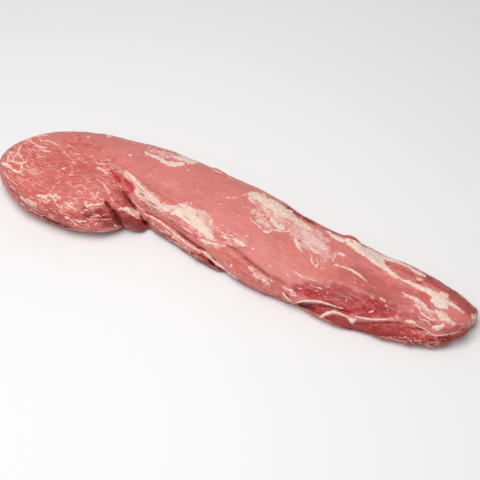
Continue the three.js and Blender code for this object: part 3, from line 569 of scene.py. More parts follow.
# Crisp red places: colour from dark crimson (0) through blood red (0.5) to salmon (1), then the points.
CUTS = (
    (0.45, ((111, 170.5, 0.5), (113.5, 173, 0.9), (115, 175.5, 0.7))),
    (0.35, ((116, 176.8, 1.1), (119, 180, 1.6), (121, 182, 0.9))),
    (0.5, ((125, 180.5, 0.8), (128.5, 184.5, 1.6), (131.5, 188, 2.4), (132, 190.5, 1.6))),
    (0.4, ((126.5, 191.5, 0.8), (129.5, 193.5, 0.8))),
    (0.9, ((120.5, 181.5, 0.6), (122.5, 186, 1), (124.5, 189.5, 0.7))),
    (0.1, ((153.5, 204.8, 0.7), (155, 205.8, 0.6))),
    (0.8, ((14, 165.8, 0.9), (17, 167.5, 1.1))),
    (0.1, ((284, 206, 0.8), (293, 211, 1.4), (300, 215.2, 1.5), (308, 219.4, 1.2))),
    (0.1, ((295, 215.2, 0.8), (299.5, 217.6, 1.1))),
    (0.2, ((304, 218.6, 1.2), (309, 221.2, 1.6), (314, 223.6, 1.1))),
    (0.8, ((313, 223, 0.9), (317, 225.2, 1.2), (320, 226.8, 0.6))),
    (0.5, ((322, 227.5, 0.6), (327, 230, 0.6), (336, 233.6, 0.9), (345, 236.2, 0.9), (352, 238, 0.9))),
    (0.5, ((354, 238.8, 0.9), (360, 243.9, 0.9), (364, 247.6, 0.7), (370, 250.6, 0.6), (376, 253.4, 0.5))),
    (0.5, ((350.5, 241.4, 0.4), (352.4, 241.9, 0.4))),
    (0.8, ((401, 265, 0.5), (406, 267, 0.6), (411, 270, 0.5))),
    (0.1, ((415.5, 281.8, 0.7), (420, 283, 0.8), (424.5, 281, 0.6))),
    (0.2, ((426.5, 306.5, 0.7), (429, 307, 0.6))),
    (0.1, ((355, 315, 0.5), (364, 315.2, 0.6), (376, 316.8, 0.5))),
    (0.0, ((416, 327.8, 0.6), (420, 329.2, 1), (425, 330.5, 0.6))),
    (0.1, ((448, 337, 0.8), (456, 338, 1.2), (464, 334.5, 1.4), (470, 330.5, 1))),
    (0.0, ((403, 340, 0.6), (408, 341.2, 0.7))),
    (0.0, ((286, 294.2, 0.8), (288.5, 296.8, 0.8))),
    (0.0, ((292, 298.3, 0.5), (294, 299.3, 0.4))),
    (0.9, ((289, 296.5, 0.5), (293, 297.5, 0.6))),
    (0.1, ((199, 254.3, 0.7), (203, 256.7, 1), (206, 258.7, 0.7))),
    (0.0, ((204, 258.6, 0.7), (207, 261, 0.9))),
    (0.1, ((214.5, 264, 0.5), (218, 267.3, 0.8))),
    (0.2, ((193, 251.5, 0.5), (197, 254.5, 0.6))),
    (0.2, ((117, 201, 0.6), (121, 205.3, 1), (124, 207, 0.7))),
    (0.3, ((251, 273, 0.4), (255, 271.5, 0.6))),
    (0.3, ((256.5, 274, 0.5), (259.5, 273.5, 0.6))),
    (0.3, ((263.5, 281.8, 0.6), (265, 279.5, 0.4))),
    (0.2, ((193, 183.2, 0.35), (196, 184.7, 0.4))),
    (0.2, ((198.5, 183.8, 0.35), (200, 185.3, 0.35), (201.5, 188, 0.3))),
    (0.3, ((193.5, 188, 0.3), (195.5, 190.5, 0.3))),
    (0.3, ((203, 188, 0.3), (205.5, 190.3, 0.3))),
    (0.9, ((411, 329.8, 0.5), (417, 333, 0.8), (424, 336.5, 0.6))),
    (0.8, ((404, 344.5, 0.6), (408, 345.3, 0.5))),
    (0.3, ((430, 336.3, 0.6), (436, 338, 0.8), (444, 337.5, 0.6))),
    (0.8, ((473.5, 316.5, 0.4), (474.5, 319, 0.5))),
    (0.4, ((161, 151, 0.6), (162.5, 152.2, 0.6))),
    (0.4, ((156, 150, 0.5), (157, 151.5, 0.5))),
    (0.3, ((168, 152.5, 0.5), (169.5, 154, 0.5))),
    (0.3, ((163.5, 158, 0.5), (165, 158.8, 0.5))),
    (0.3, ((171, 158, 0.5), (174, 159, 0.5))),
    (0.3, ((158, 156, 0.45), (159.5, 157, 0.4))),
    (0.15, ((417.5, 303.3, 0.5), (420.5, 305.4, 0.6))),
    (0.2, ((425.5, 311.8, 0.5), (427.5, 313.6, 0.5))),
    (0.2, ((431.5, 316.6, 0.4), (434, 318.6, 0.5))),
    (0.5, ((410, 298.5, 0.4), (413, 300, 0.5))),
)
# Clefts between the muscles: strength, then the points. The darkening of their grooves and their dark floors
# are painted shade.
CLEFTS = (
    (1.0, ((118.3, 183.7, 0.2), (120.5, 187.3, 0.5), (123.5, 192, 0.6), (126.3, 197, 0.7),
           (129.5, 201.2, 1), (133, 205.7, 0.9), (136, 209.5, 0.5))),
    (1.0, ((105.7, 202.5, 0.9), (107.3, 204.8, 1.2), (109.5, 207.5, 0.7), (112.7, 210.5, 0.7),
           (115, 214, 0.8), (117.3, 218, 1), (120, 222.5, 1.2), (123, 227, 1.3))),
    (1.0, ((140.5, 216, 0.4), (142.2, 219.5, 0.7), (144.7, 222.5, 0.9), (148, 225, 0.6))),
    (0.5, ((144, 211, 0.25), (151, 214, 0.3), (157, 217.5, 0.3), (162, 220.3, 0.3))),
    (0.6, ((164, 221.9, 0.15), (170, 226, 0.25), (176, 230.6, 0.35), (182, 235.4, 0.5), (187, 239.3, 0.7),
           (192, 243, 0.4), (199, 247, 0.7), (205, 250.5, 0.4))),
    (1.0, ((208.5, 260, 0.7), (211.5, 262.8, 1.5), (214.5, 265, 1.2), (217, 266.6, 0.6))),
    (0.9, ((216, 266, 0.4), (219, 268.8, 0.7), (222.5, 271.4, 0.5))),
    (0.9, ((213.6, 257.6, 0.4), (215.4, 260.2, 0.5))),
    (0.8, ((219.6, 263.6, 0.35), (221.6, 266, 0.4))),
    (0.8, ((225.2, 269.8, 0.35), (227.2, 271.6, 0.45))),
    (0.8, ((195.6, 246.6, 0.4), (199.4, 248.8, 0.5))),
    (0.7, ((191.5, 252.3, 0.35), (196, 254.6, 0.4))),
    (0.9, ((201.5, 254.8, 0.4), (204.5, 257.3, 0.5))),
    (0.8, ((227, 245, 0.15), (232, 247, 0.35), (238, 250.7, 0.4), (244, 256, 0.45), (250, 261.5, 0.5),
           (256, 266.8, 0.45), (263, 271.8, 0.35), (270, 276.8, 0.2))),
    (0.9, ((225, 274.3, 0.4), (230, 277.8, 0.6), (234, 280.4, 0.4))),
    (0.8, ((237, 282, 0.4), (241, 284.2, 0.5))),
    (0.9, ((297.5, 304.3, 0.3), (303, 303.7, 0.6), (309, 304.2, 0.6), (316, 304.3, 0.4))),
    (0.8, ((416, 327.5, 0.4), (420, 329, 0.7), (424.5, 330.7, 0.4))),
    (0.4, ((363, 255.7, 0.15), (368, 261.2, 0.25), (376, 267.5, 0.3), (385, 273.6, 0.2))),
    (0.6, ((448, 336.2, 0.2), (455, 335.2, 0.3), (461, 333.2, 0.2))),
    (0.8, ((440, 344.6, 0.3), (444, 343.4, 0.4))),
    (0.6, ((31, 210.6, 0.5), (40, 216.5, 0.9), (50, 221.2, 1.1), (60, 225.3, 1.1), (68, 228, 0.6))),
    (1.0, ((106, 203.2, 1.1), (107.8, 205.4, 1.4))),
    (0.5, ((288, 205, 0.2), (297, 210.3, 0.3), (305, 214.5, 0.3))),
)
# Short random streaks: kind, how many, middle and reach in pixels, half length, half width, and then the
# strength of fat or the colour of a cut.
STREAKS = (
    ("fat", 46, (20, 162), (19, 24), (1.5, 4.5), (0.28, 0.6), (0.55, 0.9)),
    ("fat", 60, (58, 178), (44, 34), (1.2, 4.0), (0.25, 0.5), (0.2, 0.55)),
    ("fat", 36, (62, 214), (46, 14), (1.5, 4.5), (0.28, 0.6), (0.35, 0.75)),
    ("fat", 22, (62, 150), (36, 10), (1.5, 5.0), (0.25, 0.5), (0.45, 0.7)),
    ("fat", 12, (92, 196), (12, 9), (0.8, 2.5), (0.3, 0.6), (0.5, 0.9)),
    ("fat", 16, (110, 168), (14, 10), (1.5, 4.0), (0.25, 0.5), (0.45, 0.75)),
    ("fat", 14, (350, 292), (42, 16), (0.5, 2.5), (0.3, 0.55), (0.4, 0.8)),
    ("fat", 12, (427, 312), (17, 11), (1.0, 3.5), (0.3, 0.6), (0.5, 0.9)),
    ("fat", 14, (424, 337), (16, 5), (1.5, 4.0), (0.25, 0.5), (0.5, 0.9)),
    ("fat", 20, (240, 268), (30, 22), (0.5, 2.0), (0.2, 0.4), (0.4, 0.7)),
    ("fat", 16, (190, 232), (36, 20), (1.5, 4.5), (0.25, 0.5), (0.4, 0.8)),
    ("fat", 16, (280, 225), (30, 24), (0.8, 3.0), (0.3, 0.6), (0.5, 0.8)),
    ("cut", 26, (30, 165), (26, 26), (1.0, 3.0), (0.3, 0.7), (0.5, 0.95)),
    ("cut", 34, (352, 296), (46, 17), (0.8, 3.5), (0.3, 0.9), (0.3, 1.0)),
    ("cut", 18, (408, 316), (26, 12), (0.8, 2.5), (0.3, 0.7), (0.3, 0.9)),
    ("cut", 16, (420, 335), (20, 6), (1.5, 4.0), (0.3, 0.6), (0.1, 1.0)),
    ("cut", 14, (290, 228), (34, 24), (0.8, 2.5), (0.3, 0.6), (0.5, 0.9)),
    ("cut", 12, (166, 222), (24, 14), (1.5, 4.0), (0.25, 0.5), (0.2, 0.7)),
    ("fat", 12, (164, 236), (13, 6), (1.0, 3.0), (0.35, 0.7), (0.4, 0.8)),
    ("fat", 12, (190, 252), (13, 6), (1.0, 3.0), (0.35, 0.7), (0.4, 0.8)),
    ("fat", 10, (228, 274), (13, 6), (0.8, 2.5), (0.3, 0.7), (0.4, 0.8)),
    ("fat", 8, (264, 289), (12, 5), (0.8, 2.5), (0.3, 0.6), (0.4, 0.7)),
    ("cut", 10, (166, 239), (13, 5), (1.0, 3.0), (0.35, 0.7), (0.0, 0.25)),
    ("cut", 12, (193, 255), (13, 5), (1.0, 3.0), (0.35, 0.8), (0.0, 0.25)),
    ("cut", 8, (228, 276), (12, 4), (0.8, 2.5), (0.3, 0.7), (0.0, 0.3)),
    ("cut", 8, (262, 291), (12, 4), (0.8, 2.5), (0.3, 0.6), (0.1, 0.6)),
)

# Loose shreds: colour from deep red (0) to fat (1), then the points.
SHREDS = (
    (0.1, ((374, 331, 2.2), (379, 334.5, 1.4), (382.4, 339.6, 0.2))),
    (0.2, ((380, 333, 2), (386, 336, 1.4), (391, 338, 0.5))),
    (0.8, ((389, 336.5, 0.8), (397, 338.2, 0.9), (406, 338.4, 0.5))),
    (0.3, ((394, 336, 2.2), (402, 340.5, 1.8), (406, 343.5, 0.8))),
    (0.3, ((400, 338, 2.2), (406, 342.5, 1.8), (410.5, 345, 0.8))),
    (0.8, ((402, 344, 0.8), (408, 345.6, 0.9), (411, 346.4, 0.4))),
    (0.4, ((408, 339, 2.4), (414, 343, 1.9), (419, 344.5, 0.8))),
    (0.6, ((414, 340, 2.4), (423, 343, 2.2), (430, 344.5, 1))),
    (0.9, ((421, 343.5, 0.9), (428, 346, 1.1), (434, 347.2, 0.7))),
    (0.4, ((423, 340, 2.6), (432, 343.5, 2.2), (439, 345, 1))),
    (1.0, ((436, 345.5, 0.8), (443, 343.6, 1), (451, 340.5, 0.6))),
    (0.3, ((433, 341, 2.4), (441, 343.5, 2), (448, 341.5, 0.9))),
    (0.0, ((440, 338, 2.4), (448, 340.5, 1.8), (453, 340.5, 0.7))),
    (0.0, ((447, 336, 2.2), (455, 338.5, 1.9), (459.5, 338.3, 0.7))),
    (0.0, ((455, 334, 2), (463, 334.5, 1.7), (468.5, 331, 0.7))),
    (0.1, ((461, 330, 2), (466, 330, 1.3), (470, 327.5, 0.5))),
)

# The way the fibres run in the picture: degrees down to the right, at these columns and on the whole.
SLOPE_COLUMNS = (0, 100, 150, 300, 480)
SLOPES = (30, 4, 33, 29, 22)
WHOLE_SLOPE = 28
# Random streaks: seed, how much the slope varies, how far the middle bends, the ends' share of the width.
STREAK_SEED = 7
SLOPE_SPREAD = 9
STREAK_BEND = 0.4
STREAK_ENDS = (0.5, 0.4)
# The pale halo round fat: its share of the fat's strength, its most, its softness and raggedness in pixels.
HALO_SHARE, HALO_MOST, HALO_EDGE = 0.5, 0.55, (3.5, 1.5)
# The softness and raggedness of the groove under a cleft, in pixels; the groove is sunk and darkened with
# painted shade.
GROOVE_EDGE = (2.6, 0.3)

# Noises on the surface: size of the spots in metres, a seed of their own, at times how many layers.
LUMPS, FINE_LUMPS, FIBRES, COBBLES = (0.022, 3), (0.004, 7), (0.0024, 17), (0.0045, 23, 2)
WANDER, MARK_EDGES, LOW_EDGE = (0.03, 5), (0.006, 61), (0.012, 53)
SHRED_JAGS, SHRED_TINTS = (0.003, 91, 2), (0.004, 93)
# Noises in the picture: length and width of the spots in pixels, then the seed.
FAT_COBBLES, FILM_WAVES, CUT_WAVES = (3.5, 2.4, 81), (5, 2, 83), (3, 2, 85)
# The raggedness of the sheets' edges: the share of each noise, then the noise.
EDGE_NOISES = ((0.55, (3.2, 1.3, 71)), (0.5, (7, 3.5, 73)), (0.45, (1.5, 1.1, 75)))

# Scales for grain coordinates that draw a noise out along the fibres.
FIBRE_STRETCH, HIDDEN_STRETCH = (0.12, 1, 1), (0.35, 1, 1)
# How far the grain wanders across the meat, and how far the low rim goes up and down.
WANDER_REACH, LOW_WAVES = 0.003, 0.003
# Marks on the hidden sides: kind, strength, where in its noise it begins and is full, the noise.
HIDDEN_MARKS = (
    ("membrane", 0.8, (0.0, 0.8), (0.026, 31, 5)),
    ("fat", 0.9, (0.4, 1.15), (0.016, 41, 5)),
    ("head", 0.8, (-0.2, 0.6), (0.05, 51)),
)
HIDDEN_STRINGY = 0.5
# Where a side turns away from the camera, and where along the meat the head begins: none, then all.
TURNED_AWAY, HEADWARD = (0.12, -0.2), (0.1, -0.1)
# The low rim, partly a blood-wet base and partly painted contact shade: how red it is, how much painted
# shade it has and how much more at the head, and the heights where both begin and are full.
RIM_RED, RIM_SHADE, RIM_SHADE_MORE_AT_HEAD = 0.75, 0.35, 0.35
RED_HEIGHTS, SHADE_HEIGHTS = (0.014, 0.002), (0.015, 0.002)
# Heights of the fibres, of what stringy ones stand out more, and of the membrane.
FIBRE_HEIGHT, STRINGY_HEIGHT, MEMBRANE_HEIGHT = 0.00018, 0.0004, 0.00025
# The share of the fine lumps, and of soft fat's height the share that is even and that is cobbled.
FINE_LUMP_SHARE, FAT_EVEN, FAT_COBBLED = 0.35, 0.45, 0.75
# Where the surface faces the camera enough to be moved, and the height at which relief is full.
FACING, RELIEF_FULL = (-0.15, 0.15), 0.004
# A height in the middle of the meat, to which a point goes that the camera sees beside it.
MIDDLE_HEIGHT = 0.02

# The remeshed solid: rounds of softening before and after the split, its strength, and which faces are split.
FIRST_SOFTENING, LAST_SOFTENING, SOFTENING = 3, 2, 0.5
SPLIT_FACING = -0.1
# Sheets: grid step and margin in pixels, longest face edge, gap to the meat, how fast edges sink in it.
SHEET_STEP, SHEET_MARGIN = 0.45, 0.9
LONGEST_EDGE, CLEARANCE, EDGE_SINK = 2.6 * MM, 0.05 * MM, 0.6 * MM
# Where the meat turns away from the camera, a sheet sinks this deep: from this slope on, over this range.
STEEP_SINK, STEEP_SLOPE, STEEP_RANGE = 0.3 * MM, 0.08, 0.25
# Raggedness of a sheet's edge in pixels: its least, its share of the mark's half width, its most.
RAGGED_LEAST, RAGGED_SHARE, RAGGED_MOST = 0.35, 0.5, 1.9
HOLE_RAGGED = 0.5
# How wild each sheet's edges are.
WILDNESS = {"fat": 1.0, "film": 1.2, "cuts": 0.9, "clefts": 0.5}
# Pixels: what counts as far outside, how far past a mark is looked at, how soon fat rounds up from its edge.
FAR_OUTSIDE, LOOK_PAST, FAT_ROUNDING = -9.0, 3, 1.8
# How far the sheets rise, as shares of their heights: in the middle of their noise, and its spread.
FAT_RISE, FILM_RISE, CUT_RISE, CLEFT_RISE = (0.75, 0.6), (0.8, 0.4), (0.6, 0.4), 0.1
FAT_RISE_LIMITS = (0.2, 1.4)
# Shreds: points round them, rings between two given points, flatness, jag's share, least height.
SHRED_AROUND, SHRED_RINGS = 10, 5
SHRED_FLATNESS, SHRED_JAG, SHRED_FLOOR = 0.55, 0.7, 0.2 * MM
# How far a shred's colour varies, and its tones: kind, strength in deep red, what is added up to fat.
# The dark tone is painted shade on the red shreds.
TINT_SPREAD = 0.35
SHRED_TONES = (
    ("deep", 1, -0.7), ("membrane", 0, 0.7), ("fat", 0, 0.6), ("dark", 0.5, -0.5), ("stringy", 0.4, 0),
)

# Numbers that scramble a lattice corner and a seed, and the bits of the outcome that are kept.
SCRAMBLE = (73856093, 19349663, 83492791, 40503)
STIR, FIRST_SHIFT, LAST_SHIFT = 1274126177, 13, 16
KEPT_BITS = 0xFFFF
# Keeps a path without length from being divided by nought.
TINY = 1e-12

# Noises in the materials: spots in a metre, detail, at times roughness.
PATCHES, SPECKS, VEIL, CRUMBS = (45.0, 3.0), (480.0, 3.0, 0.6), (230.0, 4.0, 0.6), (520.0, 3.0, 0.6)
FLECKS, CELL_SCALE = (300.0, 2.0, 0.5), 240.0
FAT_BLOTCHES, FAT_CRUMBS = (160.0, 3.0), (620.0, 3.0, 0.6)
FILM_BLOTCHES, FINE_SPECKS, CLEFT_SPECKS = (210.0, 4.0, 0.6), (560.0, 2.0, 0.6), (480.0, 2.0)
# Noises drawn out along the fibres: spots in a metre along and across them, detail, roughness, distortion.
FIBRE, STRINGS, MARBLING = (90.0, 520.0, 3.0), (55.0, 760.0, 2.0, 0.5, 0.3), (150.0, 700.0, 2.0, 0.5, 0.5)
VEIL_DRAWN, FAT_DRAWN = (120.0, 420.0, 3.0, 0.6), (110.0, 560.0, 3.0, 0.6)
FILM_DRAWN = (95.0, 480.0, 3.0, 0.6)
# The usual range of a noise, and the range of it that shades a colour.
USUAL, SHADED = (0.3, 0.7), (0.25, 0.75)
# How dark and how light a noise makes a colour.
PATCH_SHADING, SPECK_SHADING, FIBRE_SHADING = (0.90, 1.07), (0.88, 1.10), (0.92, 1.07)
CRUMB_SHADING, FAT_SHADING, FILM_SHADING, CUT_SHADING = (0.92, 1.06), (0.88, 1.08), (0.90, 1.08), (0.85, 1.15)
# What a noise's usual range is spread to.
HEAD_PATCHES, THIN_FIBRES, DEEP_FIBRES = (-0.2, 0.2), (0.6, 1.0), (1.0, 0.78)
FAT_BREAKS, SHADOW_CRUMBS, FAT_HOLES = (-0.22, 0.22), (1.0, 0.8), (-0.25, 0.25)
MEAT_ROUGHNESS, FAT_ROUGHNESS, FILM_ROUGHNESS = (0.38, 0.52), (0.42, 0.55), (0.36, 0.5)
CUT_ROUGHNESS, CLEFT_ROUGHNESS = (0.4, 0.5), (0.5, 0.65)
# Ranges of a noise or a mark over which a tone goes from none to all, or from one share to another.
# The crevice range lays painted shade of deep red in the grooves under the clefts.
RICHNESS, BLOOD_SPECKS, CREVICE_SHADE = (0.40, 0.60, 0.45, 1.0), (0.2, 0.8, 0.8, 1.0), (0.15, 1.0, 0.0, 0.8)
RED_STREAKS, CREAM_STREAKS, ORANGE_FLECKS = (0.46, 0.34), (0.55, 0.66), (0.57, 0.67)
DARK_STRINGS, PALE_STRINGS = (0.46, 0.36), (0.54, 0.64)
VEIL_BREAKS, VEIL_EDGE = (0.7, 1.3, -0.38, 0.38), (0.2, 0.95)
CELL_WALLS, CELL_FLOORS, PALE_FAT, FAT_EDGE = (0.16, 0.04), (0.2, 0.5), (0.35, 0.7), (0.34, 0.62)
IMPURITY, PINK_BLOTCHES, PINK_STREAKS = (0.9, 1.4, 1.0, 0.35), (0.40, 0.70, 0.0, 0.65), (0.54, 0.74, 0.0, 0.5)
FILM_TEARS, WHITE_BLOTCHES, WHITE_STRENGTH = (0.75, 1.25, 0.4, -0.6), (0.35, 0.65), (1.0, 2.0)
CRIMSON_TO_BLOOD, BLOOD_TO_SALMON = (0.0, 0.5), (0.5, 1.0)
FAT_RIM, FILM_RIM, CUT_RIM, CLEFT_RIM = (-0.3, 0.8), (-0.2, 1.1), (-0.2, 0.7), (-0.1, 0.4, 0.4, 1.0)
# Shares of the dark and the pale strings, of the cells' floors and walls, and of black in crimson;
# the black is the clefts' painted shade colour.
DARK_STRING_SHARE, PALE_STRING_SHARE = 0.55, 0.4
FLOOR_SHARE, WALL_SHARE, BLACK_SHARE = 0.45, 0.6, 0.45
# The sockets of a colour mix: its share, its two colours and what comes out.
MIX_SHARE, MIX_FIRST, MIX_SECOND, MIX_OUT = 0, 6, 7, 2


def colour_prop(name, description, default):
    return bpy.props.FloatVectorProperty(
        name=name, description=description, default=default, size=3, min=0, max=1, subtype="COLOR"
    )


def length_prop(name, description, default):
    return bpy.props.FloatProperty(
        name=name, description=description, default=default, min=0, unit="LENGTH", subtype="DISTANCE"
    )


def place_prop(name, description, default):
    return bpy.props.FloatVectorProperty(
        name=name, description=description, default=default, size=3, unit="LENGTH", subtype="XYZ"
    )


def plain_prop(name, description, default, low=0.0, high=100.0):
    return bpy.props.FloatProperty(name=name, description=description, default=default, min=low, max=high)


def share_prop(name, description, default):
    return plain_prop(name, description, default, 0.0, 1.0)


class TenderloinMeat(bpy.types.PropertyGroup):
    """Sizes and colours of the meat."""

    voxel: length_prop("Voxel", "Size of the even faces that the solid is remeshed with", 0.0023)
    lump_height: length_prop("Lump height", "Height of the broad unevenness of the surface", 0.0006)
    fat_height: length_prop("Fat height", "How far the fat stands above the muscle", 0.0010)
    film_height: length_prop("Film height", "How far the thin whitish film stands above the muscle", 0.0003)
    crevice_depth: length_prop("Crevice depth", "Depth of the narrow clefts between the muscles", 0.0020)
    muscle: colour_prop("Muscle", "Pale pink of the loin", (0.710, 0.222, 0.196))
    head: colour_prop("Head", "Redder pink of the head", (0.650, 0.150, 0.125))
    # Also painted shade: it darkens the sides, the lobe's side and the low rim besides the meat's own deep
    # red.
    deep: colour_prop("Deep red", "Dark red of the sides and the under layer", (0.390, 0.026, 0.030))
    blood: colour_prop("Blood", "Bright red of the freshly cut places", (0.500, 0.020, 0.032))
    salmon: colour_prop("Salmon", "Light orange red of the thin places", (0.800, 0.165, 0.115))
    # Also painted shade: the brown shade below the chain's groove is laid in this colour.
    rust: colour_prop("Rust", "Brownish red of the dried far edge", (0.330, 0.080, 0.055))
    fat: colour_prop("Fat", "Cream of the fat", (0.900, 0.690, 0.570))
    membrane: colour_prop("Membrane", "Whitish pink of the thin membrane", (0.820, 0.500, 0.440))
    film: colour_prop("Film", "Nearly white of the film where it is thickest", (0.860, 0.680, 0.620))
    # Painted shade: the near-black deep in the clefts, also mixed into the crimson of dark cuts.
    crevice: colour_prop("Crevice", "Nearly black red deep in the clefts", (0.045, 0.004, 0.003))
    marbling: share_prop("Marbling", "Strength of the fine cream streaks in the head", 0.48)
    red_streaks: share_prop("Red streaks", "Strength of the fine dark red streaks in the head", 0.45)
    flecks: share_prop("Flecks", "Strength of the orange flecks in the deep red", 0.42)
    veil: share_prop("Veil", "Strength of the whitish membrane", 0.88)
    shadow: share_prop("Shadow", "How much the dark places are darkened", 0.88)


class TenderloinStage(bpy.types.PropertyGroup):
    """Camera, lights and floor."""

    azimuth: plain_prop("Azimuth", "Camera's turn about the meat, in degrees", 22.0, -360, 360)
    elevation: plain_prop("Elevation", "Camera's angle above the floor, in degrees", 52.0, 0, 90)
    lens: plain_prop("Lens", "Camera's focal length, in millimetres", 85.0, 20, 300)
    distance: length_prop("Distance", "Camera's distance from the point it looks at", 1.2467)
    aim: place_prop("Aim", "Point that the camera looks at", (0.0135, -0.0132, 0.020))
    floor: colour_prop("Floor", "Pale floor", (0.90, 0.90, 0.90))
    floor_half: length_prop("Floor half", "Half the side of the floor", 6.0)
    sky: plain_prop("Sky", "Strength of the soft light from all round", 0.36)
    key: plain_prop("Key", "Power of the soft light above, in watts", 14.0)
    key_size: length_prop("Key size", "Side of the soft light above", 0.9)
    key_place: place_prop("Key place", "Where the soft light above hangs", (-0.15, -0.36, 1.28))


def camera_axes(stage):
    """The camera's directions to the right, up and back."""
    a, e = math.radians(stage.azimuth), math.radians(stage.elevation)
    back = Vector((math.sin(a) * math.cos(e), -math.cos(a) * math.cos(e), math.sin(e)))
    right = Vector((math.cos(a), math.sin(a), 0))
    return right, back.cross(right), back


class Picture:
    """Casts picture points onto a surface, from where the camera stands."""

    def __init__(self, stage, mesh):
        self.right, self.up, self.back = camera_axes(stage)
        self.eye = Vector(stage.aim) + self.back * stage.distance
        self.focal = PICTURE * stage.lens / SENSOR
        faces = [tuple(face.vertices) for face in mesh.polygons]
        self.tree = BVHTree.FromPolygons([vertex.co for vertex in mesh.vertices], faces)

    def way_to(self, x, y):
        across, down = x - PICTURE / 2, y - PICTURE / 2
        return (self.right * across - self.up * down - self.back * self.focal).normalized()

    def hit(self, x, y):
        """The surface point behind a picture point and the surface's direction there, or None twice."""
        return self.tree.ray_cast(self.eye, self.way_to(x, y))[:2]

    def place(self, x, y):
        """The surface point behind a picture point, or the nearest one where the ray just misses."""
        hit = self.hit(x, y)[0]
        if hit is None:
            way = self.way_to(x, y)
            reach = (Vector((0, 0, MIDDLE_HEIGHT)) - self.eye).dot(way)
            hit = self.tree.find_nearest(self.eye + way * reach)[0]
        return hit

    def beside(self, x, y, anchor):
        """The point behind a picture point that is as far away as the anchor."""
        way = self.way_to(x, y)
        return self.eye + way * ((anchor - self.eye).dot(self.back) / way.dot(self.back))

    def pixel_at(self, place):
        """Metres covered by one pixel at a point."""
        return (self.eye - place).dot(self.back) / self.focal


def lattice(cell, seed):
    """A value from 0 to 1 for each corner of a lattice: it looks random but is always the same."""
    a, b, c, d = SCRAMBLE
    h = cell[0] * a ^ cell[1] * b ^ cell[2] * c ^ seed * d
    h = (h ^ (h >> FIRST_SHIFT)) * STIR
    return ((h ^ (h >> LAST_SHIFT)) & KEPT_BITS) / KEPT_BITS


def mottle(points, size, seed):
    """Smooth noise from -1 to 1 with spots of about the given size."""
    p = points / size
    base = np.floor(p).astype(np.int64)
    f = p - base
    f = f * f * (3 - 2 * f)
    total = np.zeros(len(p))
    for dx in (0, 1):
        for dy in (0, 1):
            for dz in (0, 1):
                weight = np.abs(1 - dx - f[:, 0]) * np.abs(1 - dy - f[:, 1]) * np.abs(1 - dz - f[:, 2])
                total += weight * lattice((base + (dx, dy, dz)).T, seed)
    return total * 2 - 1


def rough(points, size, seed, layers=3):
    """Layers of smooth noise, each half as large and half as strong as the one before."""
    return sum(mottle(points, size / 2**k, seed + k) / 2**k for k in range(layers))


def ease(low, high, value):
    """Goes smoothly from 0 at low to 1 at high, which may lie below it."""
    t = np.clip((value - low) / (high - low), 0, 1)
    return t * t * (3 - 2 * t)


def gap_to_path(points, centres, radii):
    """How far each point lies outside a path of round spots (negative inside)."""
    if len(centres) == 1:
        return np.linalg.norm(points - centres[0], axis=1) - radii[0]
    best = np.full(len(points), np.inf)
    for (a, b), (ra, rb) in zip(zip(centres, centres[1:]), zip(radii, radii[1:])):
        way = b - a
        t = np.clip((points - a) @ way / max(way @ way, TINY), 0, 1)
        gap = np.linalg.norm(points - a - t[:, None] * way, axis=1) - (ra + (rb - ra) * t)
        best = np.minimum(best, gap)
    return best


def random_streaks(wanted):
    """Short streaks of fat or of cut muscle, strewn over parts of the meat along its fibres."""
    dice = random.Random(STREAK_SEED)
    made = []
    for kind, count, middle, reach, half_lengths, half_widths, strengths in STREAKS:
        for _ in range(count):
            turn, far = dice.uniform(0, 2 * math.pi), math.sqrt(dice.random())
            x = middle[0] + reach[0] * far * math.cos(turn)
            y = middle[1] + reach[1] * far * math.sin(turn)
            slope = math.radians(np.interp(x, SLOPE_COLUMNS, SLOPES) + dice.gauss(0, SLOPE_SPREAD))
            half, width = dice.uniform(*half_lengths), dice.uniform(*half_widths)
            dx, dy = half * math.cos(slope), half * math.sin(slope)
            bend = dice.uniform(-STREAK_BEND, STREAK_BEND)
            start, end = (share * width for share in STREAK_ENDS)
            points = ((x - dx, y - dy, start), (x, y + bend, width), (x + dx, y + dy, end))
            made.append((kind, dice.uniform(*strengths), points))
    return tuple((strength, points) for kind, strength, points in made if kind == wanted)


def lay_marks(picture, places, ragged_noise):
    """The strength of each kind of mark at every point of the surface."""
    kinds = {kind: np.zeros(len(places)) for kind in KINDS}
    halos = tuple(
        ("membrane", min(HALO_MOST, HALO_SHARE * strength), *HALO_EDGE, points) for strength, points in FAT
    )
    grooves = tuple(("crevice", strength, *GROOVE_EDGE, points) for strength, points in CLEFTS)
    for kind, strength, soft, ragged, points in TONES + halos + grooves:
        index, gap = gap_to_mark(picture, places, points, soft + ragged)
        gap += ragged_noise[index] * ragged
        kinds[kind][index] = np.maximum(kinds[kind][index], strength * ease(soft / 2, -soft / 2, gap))
    return kinds


def gap_to_mark(picture, places, points, reach):
    """The surface points near a mark, and how many pixels each lies outside it."""
    centres = np.array([picture.place(x, y) for x, y, _ in points])
    pixel = picture.pixel_at(Vector(centres[0]))
    radii = [r * pixel for _, _, r in points]
    room = max(radii) + reach * pixel
    near = np.all((places > centres.min(0) - room) & (places < centres.max(0) + room), axis=1)
    index = np.nonzero(near)[0]
    return index, gap_to_path(places[index], centres, radii) / pixel


def form_lift(forms, picture, places):
    """How far the swells and dips move each point, in metres."""
    lift = np.zeros(len(places))
    for height, soft, points in forms:
        index, gap = gap_to_mark(picture, places, points, soft)
        lift[index] += height * MM * ease(soft, -soft / 4, gap)
    return lift


